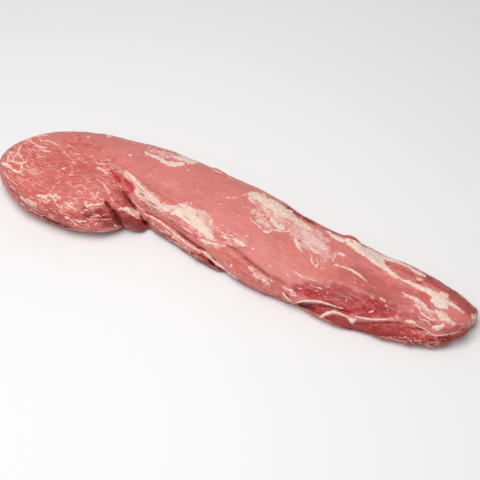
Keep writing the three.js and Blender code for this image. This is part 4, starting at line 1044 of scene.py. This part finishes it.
class Grain:
    """Coordinates that run with the fibres: along the loin, across it as a share of its width, and up."""

    SLICES = 80
    SMOOTHED_TOGETHER = 5
    TYPICAL_HALF = 0.052
    LEAST_HALF = 0.012

    def __init__(self, places):
        along, across = places[:, 0], places[:, 1]
        edges = np.linspace(along.min(), along.max(), self.SLICES + 1)
        which = np.clip(np.digitize(along, edges) - 1, 0, self.SLICES - 1)
        sides = [[pick(across[which == k]) for k in range(self.SLICES)] for pick in (np.min, np.max)]
        smooth = np.ones(self.SMOOTHED_TOGETHER) / self.SMOOTHED_TOGETHER
        sides = [np.pad(side, self.SMOOTHED_TOGETHER // 2, mode="edge") for side in sides]
        low, high = (np.convolve(side, smooth, mode="valid") for side in sides)
        self.middles = (edges[1:] + edges[:-1]) / 2
        self.centre, self.half = (low + high) / 2, (high - low) / 2

    def at(self, places):
        centre = np.interp(places[:, 0], self.middles, self.centre)
        half = np.interp(places[:, 0], self.middles, self.half)
        share = (places[:, 1] - centre) / np.maximum(half, self.LEAST_HALF)
        wander = WANDER_REACH * mottle(places, *WANDER)
        return np.stack([places[:, 0], share * self.TYPICAL_HALF + wander, places[:, 2]], axis=1)


def applied(obj):
    """Bakes an object's modifiers into its mesh."""
    mesh = bpy.data.meshes.new_from_object(obj.evaluated_get(bpy.context.evaluated_depsgraph_get()))
    obj.modifiers.clear()
    old, obj.data = obj.data, mesh
    bpy.data.meshes.remove(old)
    return obj


def even_copy(node, name, voxel, back):
    """A copy of a CAD node with small even faces, finer towards the camera and softened where facets met."""
    obj = bpy.data.objects.new(name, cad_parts[node].data.copy())
    bpy.context.scene.collection.objects.link(obj)
    obj.data.materials.clear()
    even = obj.modifiers.new("even faces", "REMESH")
    even.mode = "VOXEL"
    even.voxel_size = voxel
    soften(obj, FIRST_SOFTENING)
    applied(obj)
    split_facing(obj.data, back)
    soften(obj, LAST_SOFTENING)
    return applied(obj)


def soften(obj, rounds):
    smooth = obj.modifiers.new("soften", "SMOOTH")
    smooth.factor, smooth.iterations = SOFTENING, rounds


def split_facing(mesh, back):
    """Splits each face that can be seen from the camera into four."""
    fine = bmesh.new()
    fine.from_mesh(mesh)
    edges = {edge for face in fine.faces if face.normal.dot(back) > SPLIT_FACING for edge in face.edges}
    bmesh.ops.subdivide_edges(fine, edges=list(edges), cuts=1, use_grid_fill=True)
    fine.to_mesh(mesh)
    fine.free()


def mesh_arrays(mesh):
    """The places and the normals of a mesh's points."""
    places = np.empty(len(mesh.vertices) * 3)
    mesh.vertices.foreach_get("co", places)
    normals = np.empty(len(mesh.vertices) * 3)
    mesh.vertices.foreach_get("normal", normals)
    return places.reshape(-1, 3), normals.reshape(-1, 3)


def store(mesh, name, values):
    """Keeps a number or a vector for each point of a mesh under a name."""
    vector = values.ndim == 2
    layer = mesh.attributes.new(name, "FLOAT_VECTOR" if vector else "FLOAT", "POINT")
    layer.data.foreach_set("vector" if vector else "value", values.astype(np.float32).ravel())


def strengthen(kinds, kind, strength):
    """Raises a kind of mark to at least the given strength at every point."""
    kinds[kind] = np.maximum(kinds[kind], strength)


def hidden_side_marks(kinds, places, normals, grain, back):
    """Membrane and fat on the sides that the picture doesn't show, and painted contact shade on a red rim low
    down.
    """
    away = ease(*TURNED_AWAY, normals @ back)
    stretched = grain * HIDDEN_STRETCH
    for kind, strength, spread, noise in HIDDEN_MARKS:
        spots = places if kind == "head" else stretched
        strengthen(kinds, kind, strength * away * ease(*spread, rough(spots, *noise)))
    strengthen(kinds, "stringy", HIDDEN_STRINGY * away)
    height = places[:, 2] + LOW_WAVES * rough(places, *LOW_EDGE)
    rim_shade = RIM_SHADE + RIM_SHADE_MORE_AT_HEAD * ease(*HEADWARD, places[:, 0])
    strengthen(kinds, "deep", RIM_RED * ease(*RED_HEIGHTS, height))
    strengthen(kinds, "dark", rim_shade * ease(*SHADE_HEIGHTS, height))


def relief(meat, kinds, places, grain):
    """How far the surface stands out at every point."""
    lumps = meat.lump_height * (rough(places, *LUMPS) + FINE_LUMP_SHARE * mottle(places, *FINE_LUMPS))
    fibre_height = FIBRE_HEIGHT + STRINGY_HEIGHT * kinds["stringy"]
    fibres = fibre_height * mottle(grain * FIBRE_STRETCH, *FIBRES)
    cobbles = 0.5 + 0.5 * rough(places, *COBBLES)
    fat = meat.fat_height * kinds["fat"] * (FAT_EVEN + FAT_COBBLED * cobbles)
    membrane = MEMBRANE_HEIGHT * kinds["membrane"]
    return lumps + fibres + fat + membrane - meat.crevice_depth * kinds["crevice"]


def streaky(x, y, length, width, seed):
    """Noise drawn out along the meat, for picture points."""
    turn = math.radians(WHOLE_SLOPE)
    along = x * math.cos(turn) + y * math.sin(turn)
    across = y * math.cos(turn) - x * math.sin(turn)
    return rough(np.stack([along / length, across / width, np.zeros_like(x)], axis=1), 1.0, seed, 2)


def uneven(x, y, rise, noise):
    """A rise that varies about its middle by its spread, for picture points."""
    middle, spread = rise
    return middle + spread * streaky(x, y, *noise)


def mark_depths(marks, holes, wildness, x, y):
    """How many pixels inside a set of marks each picture point lies, and the strength of the mark there."""
    inside, strong = np.full(len(x), FAR_OUTSIDE), np.zeros(len(x))
    ragged = sum(share * streaky(x, y, *noise) for share, noise in EDGE_NOISES)
    for strength, points in marks:
        near, gap, widest = window(points, x, y)
        reach = min(RAGGED_MOST, RAGGED_LEAST + RAGGED_SHARE * widest)
        depth = ragged[near] * wildness * reach / max(1, strength) - gap
        better = near[depth > inside[near]]
        inside[near] = np.maximum(inside[near], depth)
        strong[better] = strength
    for points in holes:
        near, gap, _ = window(points, x, y)
        inside[near] = np.minimum(inside[near], gap + HOLE_RAGGED * ragged[near])
    return inside, strong


def window(points, x, y):
    """The picture points near a mark, how far each lies outside it, and the mark's widest half width."""
    path = np.array(points, float)
    widest = path[:, 2].max()
    room = widest + LOOK_PAST
    low, high = path[:, :2].min(0) - room, path[:, :2].max(0) + room
    near = np.nonzero((x > low[0]) & (x < high[0]) & (y > low[1]) & (y < high[1]))[0]
    return near, gap_to_path(np.stack([x[near], y[near]], axis=1), path[:, :2], path[:, 2]), widest


def fat_rise(inside, strong, x, y):
    """Fat is cobbled and thicker away from its edges."""
    cobbles = np.clip(uneven(x, y, FAT_RISE, FAT_COBBLES), *FAT_RISE_LIMITS)
    return strong * cobbles * (1 - np.exp(-np.maximum(inside, 0) / FAT_ROUNDING))


def film_rise(inside, strong, x, y):
    """Film is thin and nearly even."""
    return strong * np.clip(inside, 0, 1) * uneven(x, y, FILM_RISE, FILM_WAVES)


def cut_rise(inside, strong, x, y):
    """Cut muscle is thin and a little uneven."""
    return np.clip(inside, 0, 1) * uneven(x, y, CUT_RISE, CUT_WAVES)


def cleft_rise(inside, strong, x, y):
    """A cleft's floor of painted shade only just covers the meat."""
    return np.clip(inside, 0, 1) * CLEFT_RISE


def sheet_mesh(name, picture, marks, holes, rise, height):
    """A thin sheet over the marks, as high as its rise times its height, its edges sunk in the meat."""
    columns, rows = int(PICTURE / SHEET_STEP), int((BOTTOM_ROW - TOP_ROW) / SHEET_STEP)
    x = SHEET_STEP * np.tile(np.arange(columns), rows)
    y = TOP_ROW + SHEET_STEP * np.repeat(np.arange(rows), columns)
    inside, strong = mark_depths(marks, holes, WILDNESS[name], x, y)
    risen, sunk = height * rise(inside, strong, x, y), EDGE_SINK * np.minimum(inside, 0)
    lift = np.where(inside > 0, risen, sunk) + CLEARANCE
    number = np.full(rows * columns, -1)
    points, kept = [], []
    for index in np.nonzero(inside > -SHEET_MARGIN)[0]:
        place, normal = picture.hit(x[index], y[index])
        if place is None:
            continue
        number[index] = len(points)
        facing = min(1.0, max(0.0, (normal.dot(picture.back) - STEEP_SLOPE) / STEEP_RANGE))
        points.append(place + normal * (lift[index] * facing - STEEP_SINK * (1 - facing)))
        kept.append(index)
    grid = number.reshape(rows, columns)
    quads = np.stack([grid[:-1, :-1], grid[1:, :-1], grid[1:, 1:], grid[:-1, 1:]], axis=-1).reshape(-1, 4)
    quads = quads[(quads >= 0).all(axis=1)]
    corners = np.array(points)[quads]
    spans = np.linalg.norm(corners - np.roll(corners, 1, axis=1), axis=2).max(axis=1)
    mesh = bpy.data.meshes.new(name)
    mesh.from_pydata(points, [], quads[spans < LONGEST_EDGE].tolist())
    store(mesh, "inside", inside[kept])
    store(mesh, "strong", strong[kept])
    return mesh


def shred_rings(picture, points):
    """Rings of points round a shred, from its root in the meat to its loose end."""
    anchor = picture.place(*points[0][:2])
    centres = np.array([picture.beside(x, y, anchor) for x, y, _ in points])
    radii = np.array([r for _, _, r in points]) * picture.pixel_at(anchor)
    steps = np.linspace(0, len(points) - 1, (len(points) - 1) * SHRED_RINGS + 1)
    known = np.arange(len(points))
    centres = np.stack([np.interp(steps, known, centres[:, k]) for k in range(3)], axis=1)
    radii = np.interp(steps, known, radii)
    way = centres[-1] - centres[0]
    side = np.cross(way, (0, 0, 1))
    side /= np.linalg.norm(side)
    turns = np.linspace(0, 2 * math.pi, SHRED_AROUND, endpoint=False)
    ring = np.cos(turns)[:, None] * side + SHRED_FLATNESS * np.sin(turns)[:, None] * np.array((0, 0, 1))
    rings = centres[:, None] + radii[:, None, None] * ring
    flat = rings.reshape(-1, 3)
    jag = rough(flat, *SHRED_JAGS)[:, None] * np.repeat(radii, SHRED_AROUND)[:, None] * SHRED_JAG
    flat = flat + jag * np.tile(ring, (len(centres), 1))
    flat[:, 2] = np.maximum(flat[:, 2], SHRED_FLOOR)
    return flat.reshape(len(centres), SHRED_AROUND, 3)


def shred_mesh(picture):
    """All the loose shreds along the tail's lower edge, as one mesh."""
    places, faces, tints = [], [], []
    for tint, points in SHREDS:
        rings = shred_rings(picture, points)
        count, around = rings.shape[:2]
        first = len(places)
        places.extend(rings.reshape(-1, 3).tolist())
        for k in range(count - 1):
            for j in range(around):
                a, b = first + k * around + j, first + k * around + (j + 1) % around
                faces.append((a, b, b + around, a + around))
        faces.append(tuple(first + j for j in reversed(range(around))))
        faces.append(tuple(first + (count - 1) * around + j for j in range(around)))
        tints.extend([tint] * (count * around))
    mesh = bpy.data.meshes.new("shreds")
    mesh.from_pydata(places, [], faces)
    tints = np.clip(np.array(tints) + TINT_SPREAD * mottle(np.array(places), *SHRED_TINTS), 0, 1)
    shares = {kind: least + more * tints for kind, least, more in SHRED_TONES}
    for kind in KINDS:
        store(mesh, kind, shares.get(kind, 0 * tints))
    return mesh


def piece(mesh, name, material):
    """Hangs a mesh on the meat as a piece of its own."""
    obj = bpy.data.objects.new(name, mesh)
    bpy.context.scene.collection.objects.link(obj)
    mesh.shade_smooth()
    mesh.materials.append(material)
    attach(obj, BODY)
    return obj


class Bench:
    """Short calls for laying out a material's nodes."""

    def __init__(self, material):
        self.tree = material.node_tree
        self.tree.nodes.clear()

    def node(self, kind, inputs=(), **settings):
        node = self.tree.nodes.new(kind)
        for name, value in settings.items():
            setattr(node, name, value)
        for socket, value in dict(inputs).items():
            self.feed(node.inputs[socket], value)
        return node

    def feed(self, socket, value):
        if isinstance(value, bpy.types.NodeSocket):
            self.tree.links.new(value, socket)
        elif isinstance(value, (int, float)) or len(value) == len(socket.default_value):
            socket.default_value = value
        else:
            socket.default_value = (*value, 1)

    def attribute(self, name):
        node = self.node("ShaderNodeAttribute", attribute_name=name)
        return node.outputs["Fac"]

    def vector(self, name, scale):
        node = self.node("ShaderNodeAttribute", attribute_name=name)
        return self.node(
            "ShaderNodeVectorMath", {0: node.outputs["Vector"], 1: scale}, operation="MULTIPLY"
        ).outputs[0]

    def math(self, operation, a, b=0.0, c=0.0, clamp=False):
        node = self.node("ShaderNodeMath", {0: a, 1: b, 2: c}, operation=operation, use_clamp=clamp)
        return node.outputs[0]

    def times(self, a, b):
        return self.math("MULTIPLY", a, b)

    def noise(self, vector, scale, detail=2.0, roughness=0.55, distortion=0.0):
        inputs = {"Vector": vector, "Scale": scale, "Detail": detail, "Roughness": roughness,
                  "Distortion": distortion}
        return self.node("ShaderNodeTexNoise", inputs).outputs["Fac"]

    def grain_noise(self, along, across, *settings):
        """Noise drawn out along the fibres."""
        return self.noise(self.vector("grain", (along, across, across)), 1.0, *settings)

    def ramp(self, value, low, high, to_low=0.0, to_high=1.0):
        inputs = {"Value": value, "From Min": low, "From Max": high, "To Min": to_low, "To Max": to_high}
        return self.node("ShaderNodeMapRange", inputs, interpolation_type="SMOOTHSTEP").outputs[0]

    def sway(self, noise, to_low, to_high):
        """Spreads the usual range of a noise from one value to another."""
        return self.ramp(noise, *USUAL, to_low, to_high)

    def mix(self, share, a, b):
        node = self.node("ShaderNodeMix", data_type="RGBA")
        self.feed(node.inputs[MIX_SHARE], share)
        self.feed(node.inputs[MIX_FIRST], a)
        self.feed(node.inputs[MIX_SECOND], b)
        return node.outputs[MIX_OUT]

    def scaled(self, colour, strength):
        return self.node("ShaderNodeVectorMath", {0: colour, "Scale": strength}, operation="SCALE").outputs[0]

    def shade(self, colour, value, low, high):
        """Makes a colour darker or lighter with a value from 0 to 1."""
        return self.scaled(colour, self.ramp(value, *SHADED, low, high))


def new_bench(name):
    """A new material, the bench for its nodes, and the place of each point."""
    material = bpy.data.materials.new(name)
    material.use_nodes = True
    b = Bench(material)
    return material, b, b.node("ShaderNodeTexCoord").outputs["Object"]


def beef_material(meat):
    """Muscle with grain and marbling, under blood, membrane and fat, with painted shade in the clefts and
    dark places.
    """
    material, b, place = new_bench("raw_beef")
    near = {kind: b.attribute(kind) for kind in KINDS}

    # Pink muscle, redder at the head and orange where it is thin.
    patches, specks = b.noise(place, *PATCHES), b.noise(place, *SPECKS)
    fibre, strings = b.grain_noise(*FIBRE), b.grain_noise(*STRINGS)
    head_share = b.math("ADD", near["head"], b.sway(patches, *HEAD_PATCHES), clamp=True)
    colour = b.mix(head_share, meat.muscle, meat.head)
    colour = b.shade(colour, patches, *PATCH_SHADING)
    colour = b.shade(colour, specks, *SPECK_SHADING)
    colour = b.shade(colour, fibre, *FIBRE_SHADING)
    colour = b.mix(b.times(near["salmon"], b.sway(fibre, *THIN_FIBRES)), colour, meat.salmon)

    # Red and cream streaks in the head, the deep red with orange flecks, the dried edge and the painted brown
    # shade below the chain's groove, loose strings.
    streaks = b.grain_noise(*MARBLING)
    rich = b.times(near["head"], b.ramp(patches, *RICHNESS))
    red_streaks = b.times(b.ramp(streaks, *RED_STREAKS), b.times(rich, meat.red_streaks))
    marbling = b.times(b.ramp(streaks, *CREAM_STREAKS), rich)
    colour = b.mix(red_streaks, colour, meat.deep)
    colour = b.mix(b.times(near["deep"], b.sway(fibre, *DEEP_FIBRES)), colour, meat.deep)
    flecks = b.times(b.ramp(b.noise(place, *FLECKS), *ORANGE_FLECKS), near["deep"])
    colour = b.mix(b.times(flecks, meat.flecks), colour, meat.salmon)
    colour = b.mix(b.times(marbling, meat.marbling), colour, meat.fat)
    colour = b.mix(near["rust"], colour, meat.rust)
    dark_strings = b.times(b.ramp(strings, *DARK_STRINGS), b.times(near["stringy"], DARK_STRING_SHARE))
    colour = b.mix(dark_strings, colour, meat.deep)
    pale_strings = b.times(b.ramp(strings, *PALE_STRINGS), b.times(near["stringy"], PALE_STRING_SHARE))
    colour = b.mix(pale_strings, colour, meat.membrane)

    # The whitish membrane with its breaks, a net of cells in places, and blood.
    veil, drawn = b.noise(place, *VEIL), b.grain_noise(*VEIL_DRAWN)
    breaks = b.ramp(b.math("ADD", veil, drawn), *VEIL_BREAKS)
    veil_cover = b.ramp(b.math("ADD", near["membrane"], breaks), *VEIL_EDGE)
    colour = b.mix(b.times(veil_cover, meat.veil), colour, meat.membrane)
    cells = b.node("ShaderNodeTexVoronoi", {"Vector": place, "Scale": CELL_SCALE}, feature="DISTANCE_TO_EDGE")
    to_wall = cells.outputs["Distance"]
    walls = b.times(b.ramp(to_wall, *CELL_WALLS), near["cell"])
    floors = b.times(b.ramp(to_wall, *CELL_FLOORS), b.times(near["cell"], FLOOR_SHARE))
    colour = b.mix(floors, colour, meat.deep)
    colour = b.mix(b.times(walls, WALL_SHARE), colour, meat.fat)
    colour = b.mix(b.times(near["blood"], b.ramp(specks, *BLOOD_SPECKS)), colour, meat.blood)

    # Crumbly fat, then painted shade: deep red in the clefts' grooves and darkening of the dark places.
    crumbs = b.noise(place, *CRUMBS)
    broken = b.math("ADD", near["fat"], b.sway(crumbs, *FAT_BREAKS))
    fat_colour = b.mix(b.ramp(veil, *PALE_FAT), meat.fat, meat.membrane)
    colour = b.mix(b.ramp(broken, *FAT_EDGE), colour, b.shade(fat_colour, crumbs, *CRUMB_SHADING))
    colour = b.mix(b.ramp(near["crevice"], *CREVICE_SHADE), colour, meat.deep)
    shadow = b.times(near["dark"], b.sway(crumbs, *SHADOW_CRUMBS))
    colour = b.scaled(colour, b.math("MULTIPLY_ADD", shadow, -meat.shadow, 1.0))
    height = b.math("ADD", b.times(fibre, 0.5), b.times(crumbs, 0.5))
    return finished(b, material, colour, height, b.sway(veil, *MEAT_ROUGHNESS))


def sheet_material(name):
    """A new bench, and how far inside the sheet and how strong each point is."""
    material, b, place = new_bench(name)
    return material, b, place, b.attribute("inside"), b.attribute("strong")


def fat_material(meat):
    """Cream fat with pinkish streaks, thin and pink at its edges."""
    material, b, place, inside, strong = sheet_material("beef_fat")
    blotches, crumbs = b.noise(place, *FAT_BLOTCHES), b.noise(place, *FAT_CRUMBS)
    drawn = b.grain_noise(*FAT_DRAWN)
    impure = b.ramp(strong, *IMPURITY)
    colour = b.mix(b.times(b.ramp(blotches, *PINK_BLOTCHES), impure), meat.fat, meat.membrane)
    colour = b.mix(b.times(b.ramp(drawn, *PINK_STREAKS), impure), colour, meat.muscle)
    colour = b.shade(colour, crumbs, *FAT_SHADING)
    whole = b.math("ADD", strong, b.sway(crumbs, *FAT_HOLES))
    cover = b.math("MINIMUM", b.times(b.ramp(inside, *FAT_RIM), whole), 1.0)
    colour = b.mix(cover, meat.muscle, colour)
    return finished(b, material, colour, crumbs, b.sway(blotches, *FAT_ROUGHNESS))


def film_material(meat):
    """Whitish film, streaked and torn so that the muscle shows through."""
    material, b, place, inside, strong = sheet_material("beef_film")
    blotches, drawn = b.noise(place, *FILM_BLOTCHES), b.grain_noise(*FILM_DRAWN)
    specks = b.noise(place, *FINE_SPECKS)
    torn = b.ramp(b.math("ADD", blotches, drawn), *FILM_TEARS)
    cover = b.math("MULTIPLY", b.ramp(inside, *FILM_RIM), b.math("ADD", strong, torn), clamp=True)
    whiteness = b.math("MAXIMUM", b.ramp(blotches, *WHITE_BLOTCHES), b.ramp(strong, *WHITE_STRENGTH))
    colour = b.mix(whiteness, meat.membrane, meat.film)
    colour = b.shade(b.mix(cover, meat.muscle, colour), specks, *FILM_SHADING)
    return finished(b, material, colour, blotches, b.sway(drawn, *FILM_ROUGHNESS))


def cut_material(meat):
    """Red muscle laid bare: dark crimson, blood red or salmon, by the strength of the mark."""
    material, b, place, inside, strong = sheet_material("beef_cut")
    specks = b.noise(place, *FINE_SPECKS)
    # The crimson is deep red with the clefts' near-black painted shade colour mixed in.
    colour = b.mix(BLACK_SHARE, meat.deep, meat.crevice)
    colour = b.mix(b.ramp(strong, *CRIMSON_TO_BLOOD), colour, meat.blood)
    colour = b.mix(b.ramp(strong, *BLOOD_TO_SALMON), colour, meat.salmon)
    colour = b.mix(b.ramp(inside, *CUT_RIM), meat.head, colour)
    colour = b.shade(colour, specks, *CUT_SHADING)
    return finished(b, material, colour, specks, b.sway(specks, *CUT_ROUGHNESS))


def cleft_shade_material(meat):
    """Painted shade in a cleft: nearly black red that fades out to deep red at its edges."""
    material, b, place, inside, strong = sheet_material("beef_cleft_shade")
    specks = b.noise(place, *CLEFT_SPECKS)
    colour = b.mix(b.times(b.ramp(inside, *CLEFT_RIM), strong), meat.deep, meat.crevice)
    return finished(b, material, colour, specks, b.sway(specks, *CLEFT_ROUGHNESS))


def finished(b, material, colour, height, roughness):
    """Gives a material the moist, slightly see-through finish of raw meat."""
    bump = b.node("ShaderNodeBump", {"Height": height, "Strength": 0.5, "Distance": 0.0007})
    shader = b.node("ShaderNodeBsdfPrincipled", {
        "Base Color": colour, "Roughness": roughness, "Normal": bump.outputs["Normal"], "IOR": 1.4,
        "Specular IOR Level": 0.3, "Subsurface Weight": 0.06, "Subsurface Radius": (0.003, 0.0012, 0.0008),
        "Coat Weight": 0.08, "Coat Roughness": 0.2,
    })
    output = b.node("ShaderNodeOutputMaterial")
    b.tree.links.new(shader.outputs[0], output.inputs["Surface"])
    return material


class TENDERLOIN_OT_meat(bpy.types.Operator):
    """Builds the meat over the CAD solid and lays its tones, membrane and clefts on it"""

    bl_idname = "tenderloin.meat"
    bl_label = "Meat"

    def execute(self, context):
        meat, stage = context.scene.tenderloin_meat, context.scene.tenderloin_stage
        obj = even_copy(NODE, "tenderloin_meat", meat.voxel, camera_axes(stage)[2])
        mesh = obj.data
        places, normals = mesh_arrays(mesh)
        picture = Picture(stage, mesh)
        back = np.array(picture.back)
        grain = Grain(places).at(places)
        kinds = lay_marks(picture, places, rough(places, *MARK_EDGES))
        hidden_side_marks(kinds, places, normals, grain, back)
        outward = relief(meat, kinds, places, grain) + form_lift(BULGES, picture, places)
        forward = form_lift(FORMS, picture, places) * ease(*FACING, normals @ back)
        floor_share = ease(0.0, RELIEF_FULL, places[:, 2])
        moved = places + (normals * outward[:, None] + back * forward[:, None]) * floor_share[:, None]
        moved[:, 2] = np.maximum(moved[:, 2], 0)
        mesh.vertices.foreach_set("co", moved.ravel())
        for kind in KINDS:
            store(mesh, kind, kinds[kind])
        store(mesh, "grain", grain)
        mesh.shade_smooth()
        mesh.materials.append(beef_material(meat))
        mesh.update()
        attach(obj, BODY)
        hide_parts(NODE)
        return {"FINISHED"}


class TENDERLOIN_OT_sheets(bpy.types.Operator):
    """Lays the raised cream fat, whitish film, red cuts and the clefts' floors of painted shade on the meat
    """

    bl_idname = "tenderloin.sheets"
    bl_label = "Fat, film, cuts and clefts"

    def execute(self, context):
        meat, stage = context.scene.tenderloin_meat, context.scene.tenderloin_stage
        flesh = bpy.data.objects["tenderloin_meat"].data
        picture = Picture(stage, flesh)
        grain = Grain(mesh_arrays(flesh)[0])
        fat, cuts = FAT + random_streaks("fat"), CUTS + random_streaks("cut")
        sheets = (
            ("fat", fat, HOLES, fat_rise, meat.fat_height, fat_material(meat)),
            ("film", FILM, HOLES, film_rise, meat.film_height, film_material(meat)),
            ("cuts", cuts, (), cut_rise, meat.film_height, cut_material(meat)),
            ("clefts", CLEFTS, (), cleft_rise, meat.film_height, cleft_shade_material(meat)),
        )
        for name, marks, holes, rise, height, material in sheets:
            mesh = sheet_mesh(name, picture, marks, holes, rise, height)
            store(mesh, "grain", grain.at(mesh_arrays(mesh)[0]))
            piece(mesh, "tenderloin_" + name, material)
        return {"FINISHED"}


class TENDERLOIN_OT_shreds(bpy.types.Operator):
    """Adds the loose shreds at the tail's lower edge"""

    bl_idname = "tenderloin.shreds"
    bl_label = "Shreds"

    def execute(self, context):
        stage = context.scene.tenderloin_stage
        flesh = bpy.data.objects["tenderloin_meat"].data
        mesh = shred_mesh(Picture(stage, flesh))
        store(mesh, "grain", Grain(mesh_arrays(flesh)[0]).at(mesh_arrays(mesh)[0]))
        piece(mesh, "tenderloin_shreds", flesh.materials[0])
        return {"FINISHED"}


class TENDERLOIN_OT_stage(bpy.types.Operator):
    """Sets out the pale floor, the soft lights and the camera"""

    bl_idname = "tenderloin.stage"
    bl_label = "Stage"

    def execute(self, context):
        scene, stage = context.scene, context.scene.tenderloin_stage
        self.make_floor(scene, stage)
        self.make_sky(scene, stage)
        self.make_key(scene, stage)
        self.make_camera(scene, stage)
        scene.view_settings.view_transform = "Standard"
        return {"FINISHED"}

    def make_floor(self, scene, stage):
        half = stage.floor_half
        mesh = bpy.data.meshes.new("floor")
        corners = [(-half, -half, 0), (half, -half, 0), (half, half, 0), (-half, half, 0)]
        mesh.from_pydata(corners, [], [(0, 1, 2, 3)])
        floor = bpy.data.objects.new("floor", mesh)
        scene.collection.objects.link(floor)
        material = bpy.data.materials.new("floor")
        material.use_nodes = True
        shader = material.node_tree.nodes["Principled BSDF"]
        shader.inputs["Base Color"].default_value = (*stage.floor, 1)
        shader.inputs["Roughness"].default_value = 0.9
        mesh.materials.append(material)

    def make_sky(self, scene, stage):
        world = bpy.data.worlds.new("sky")
        world.use_nodes = True
        background = world.node_tree.nodes["Background"]
        background.inputs["Color"].default_value = (1, 1, 1, 1)
        background.inputs["Strength"].default_value = stage.sky
        scene.world = world

    def make_key(self, scene, stage):
        data = bpy.data.lights.new("key", "AREA")
        data.energy, data.size = stage.key, stage.key_size
        lamp = bpy.data.objects.new("key", data)
        lamp.location = stage.key_place
        lamp.rotation_euler = (-Vector(stage.key_place)).to_track_quat("-Z", "Y").to_euler()
        scene.collection.objects.link(lamp)

    def make_camera(self, scene, stage):
        data = bpy.data.cameras.new("camera")
        data.lens, data.sensor_width = stage.lens, SENSOR
        camera = bpy.data.objects.new("camera", data)
        _, _, back = camera_axes(stage)
        camera.location = Vector(stage.aim) + back * stage.distance
        camera.rotation_euler = (-back).to_track_quat("-Z", "Y").to_euler()
        scene.collection.objects.link(camera)
        scene.camera = camera


class TENDERLOIN_PT_panel(bpy.types.Panel):
    """Lists the pieces of the tenderloin"""

    bl_idname = "TENDERLOIN_PT_panel"
    bl_label = "Raw beef tenderloin"
    bl_space_type = "VIEW_3D"
    bl_region_type = "UI"
    bl_category = "Tenderloin"

    def draw(self, context):
        for operator in OPERATORS:
            self.layout.operator(operator.bl_idname)
        for group in (context.scene.tenderloin_meat, context.scene.tenderloin_stage):
            box = self.layout.box()
            for name in group.__annotations__:
                box.prop(group, name)


OPERATORS = (TENDERLOIN_OT_stage, TENDERLOIN_OT_meat, TENDERLOIN_OT_sheets, TENDERLOIN_OT_shreds)
CLASSES = (TenderloinMeat, TenderloinStage, *OPERATORS, TENDERLOIN_PT_panel)


def register():
    for cls in CLASSES:
        bpy.utils.register_class(cls)
    bpy.types.Scene.tenderloin_meat = bpy.props.PointerProperty(type=TenderloinMeat)
    bpy.types.Scene.tenderloin_stage = bpy.props.PointerProperty(type=TenderloinStage)


def unregister():
    del bpy.types.Scene.tenderloin_meat
    del bpy.types.Scene.tenderloin_stage
    for cls in reversed(CLASSES):
        bpy.utils.unregister_class(cls)


def main():
    register()
    bpy.ops.tenderloin.stage()
    bpy.ops.tenderloin.meat()
    bpy.ops.tenderloin.sheets()
    bpy.ops.tenderloin.shreds()


if __name__ == "__main__":
    main()
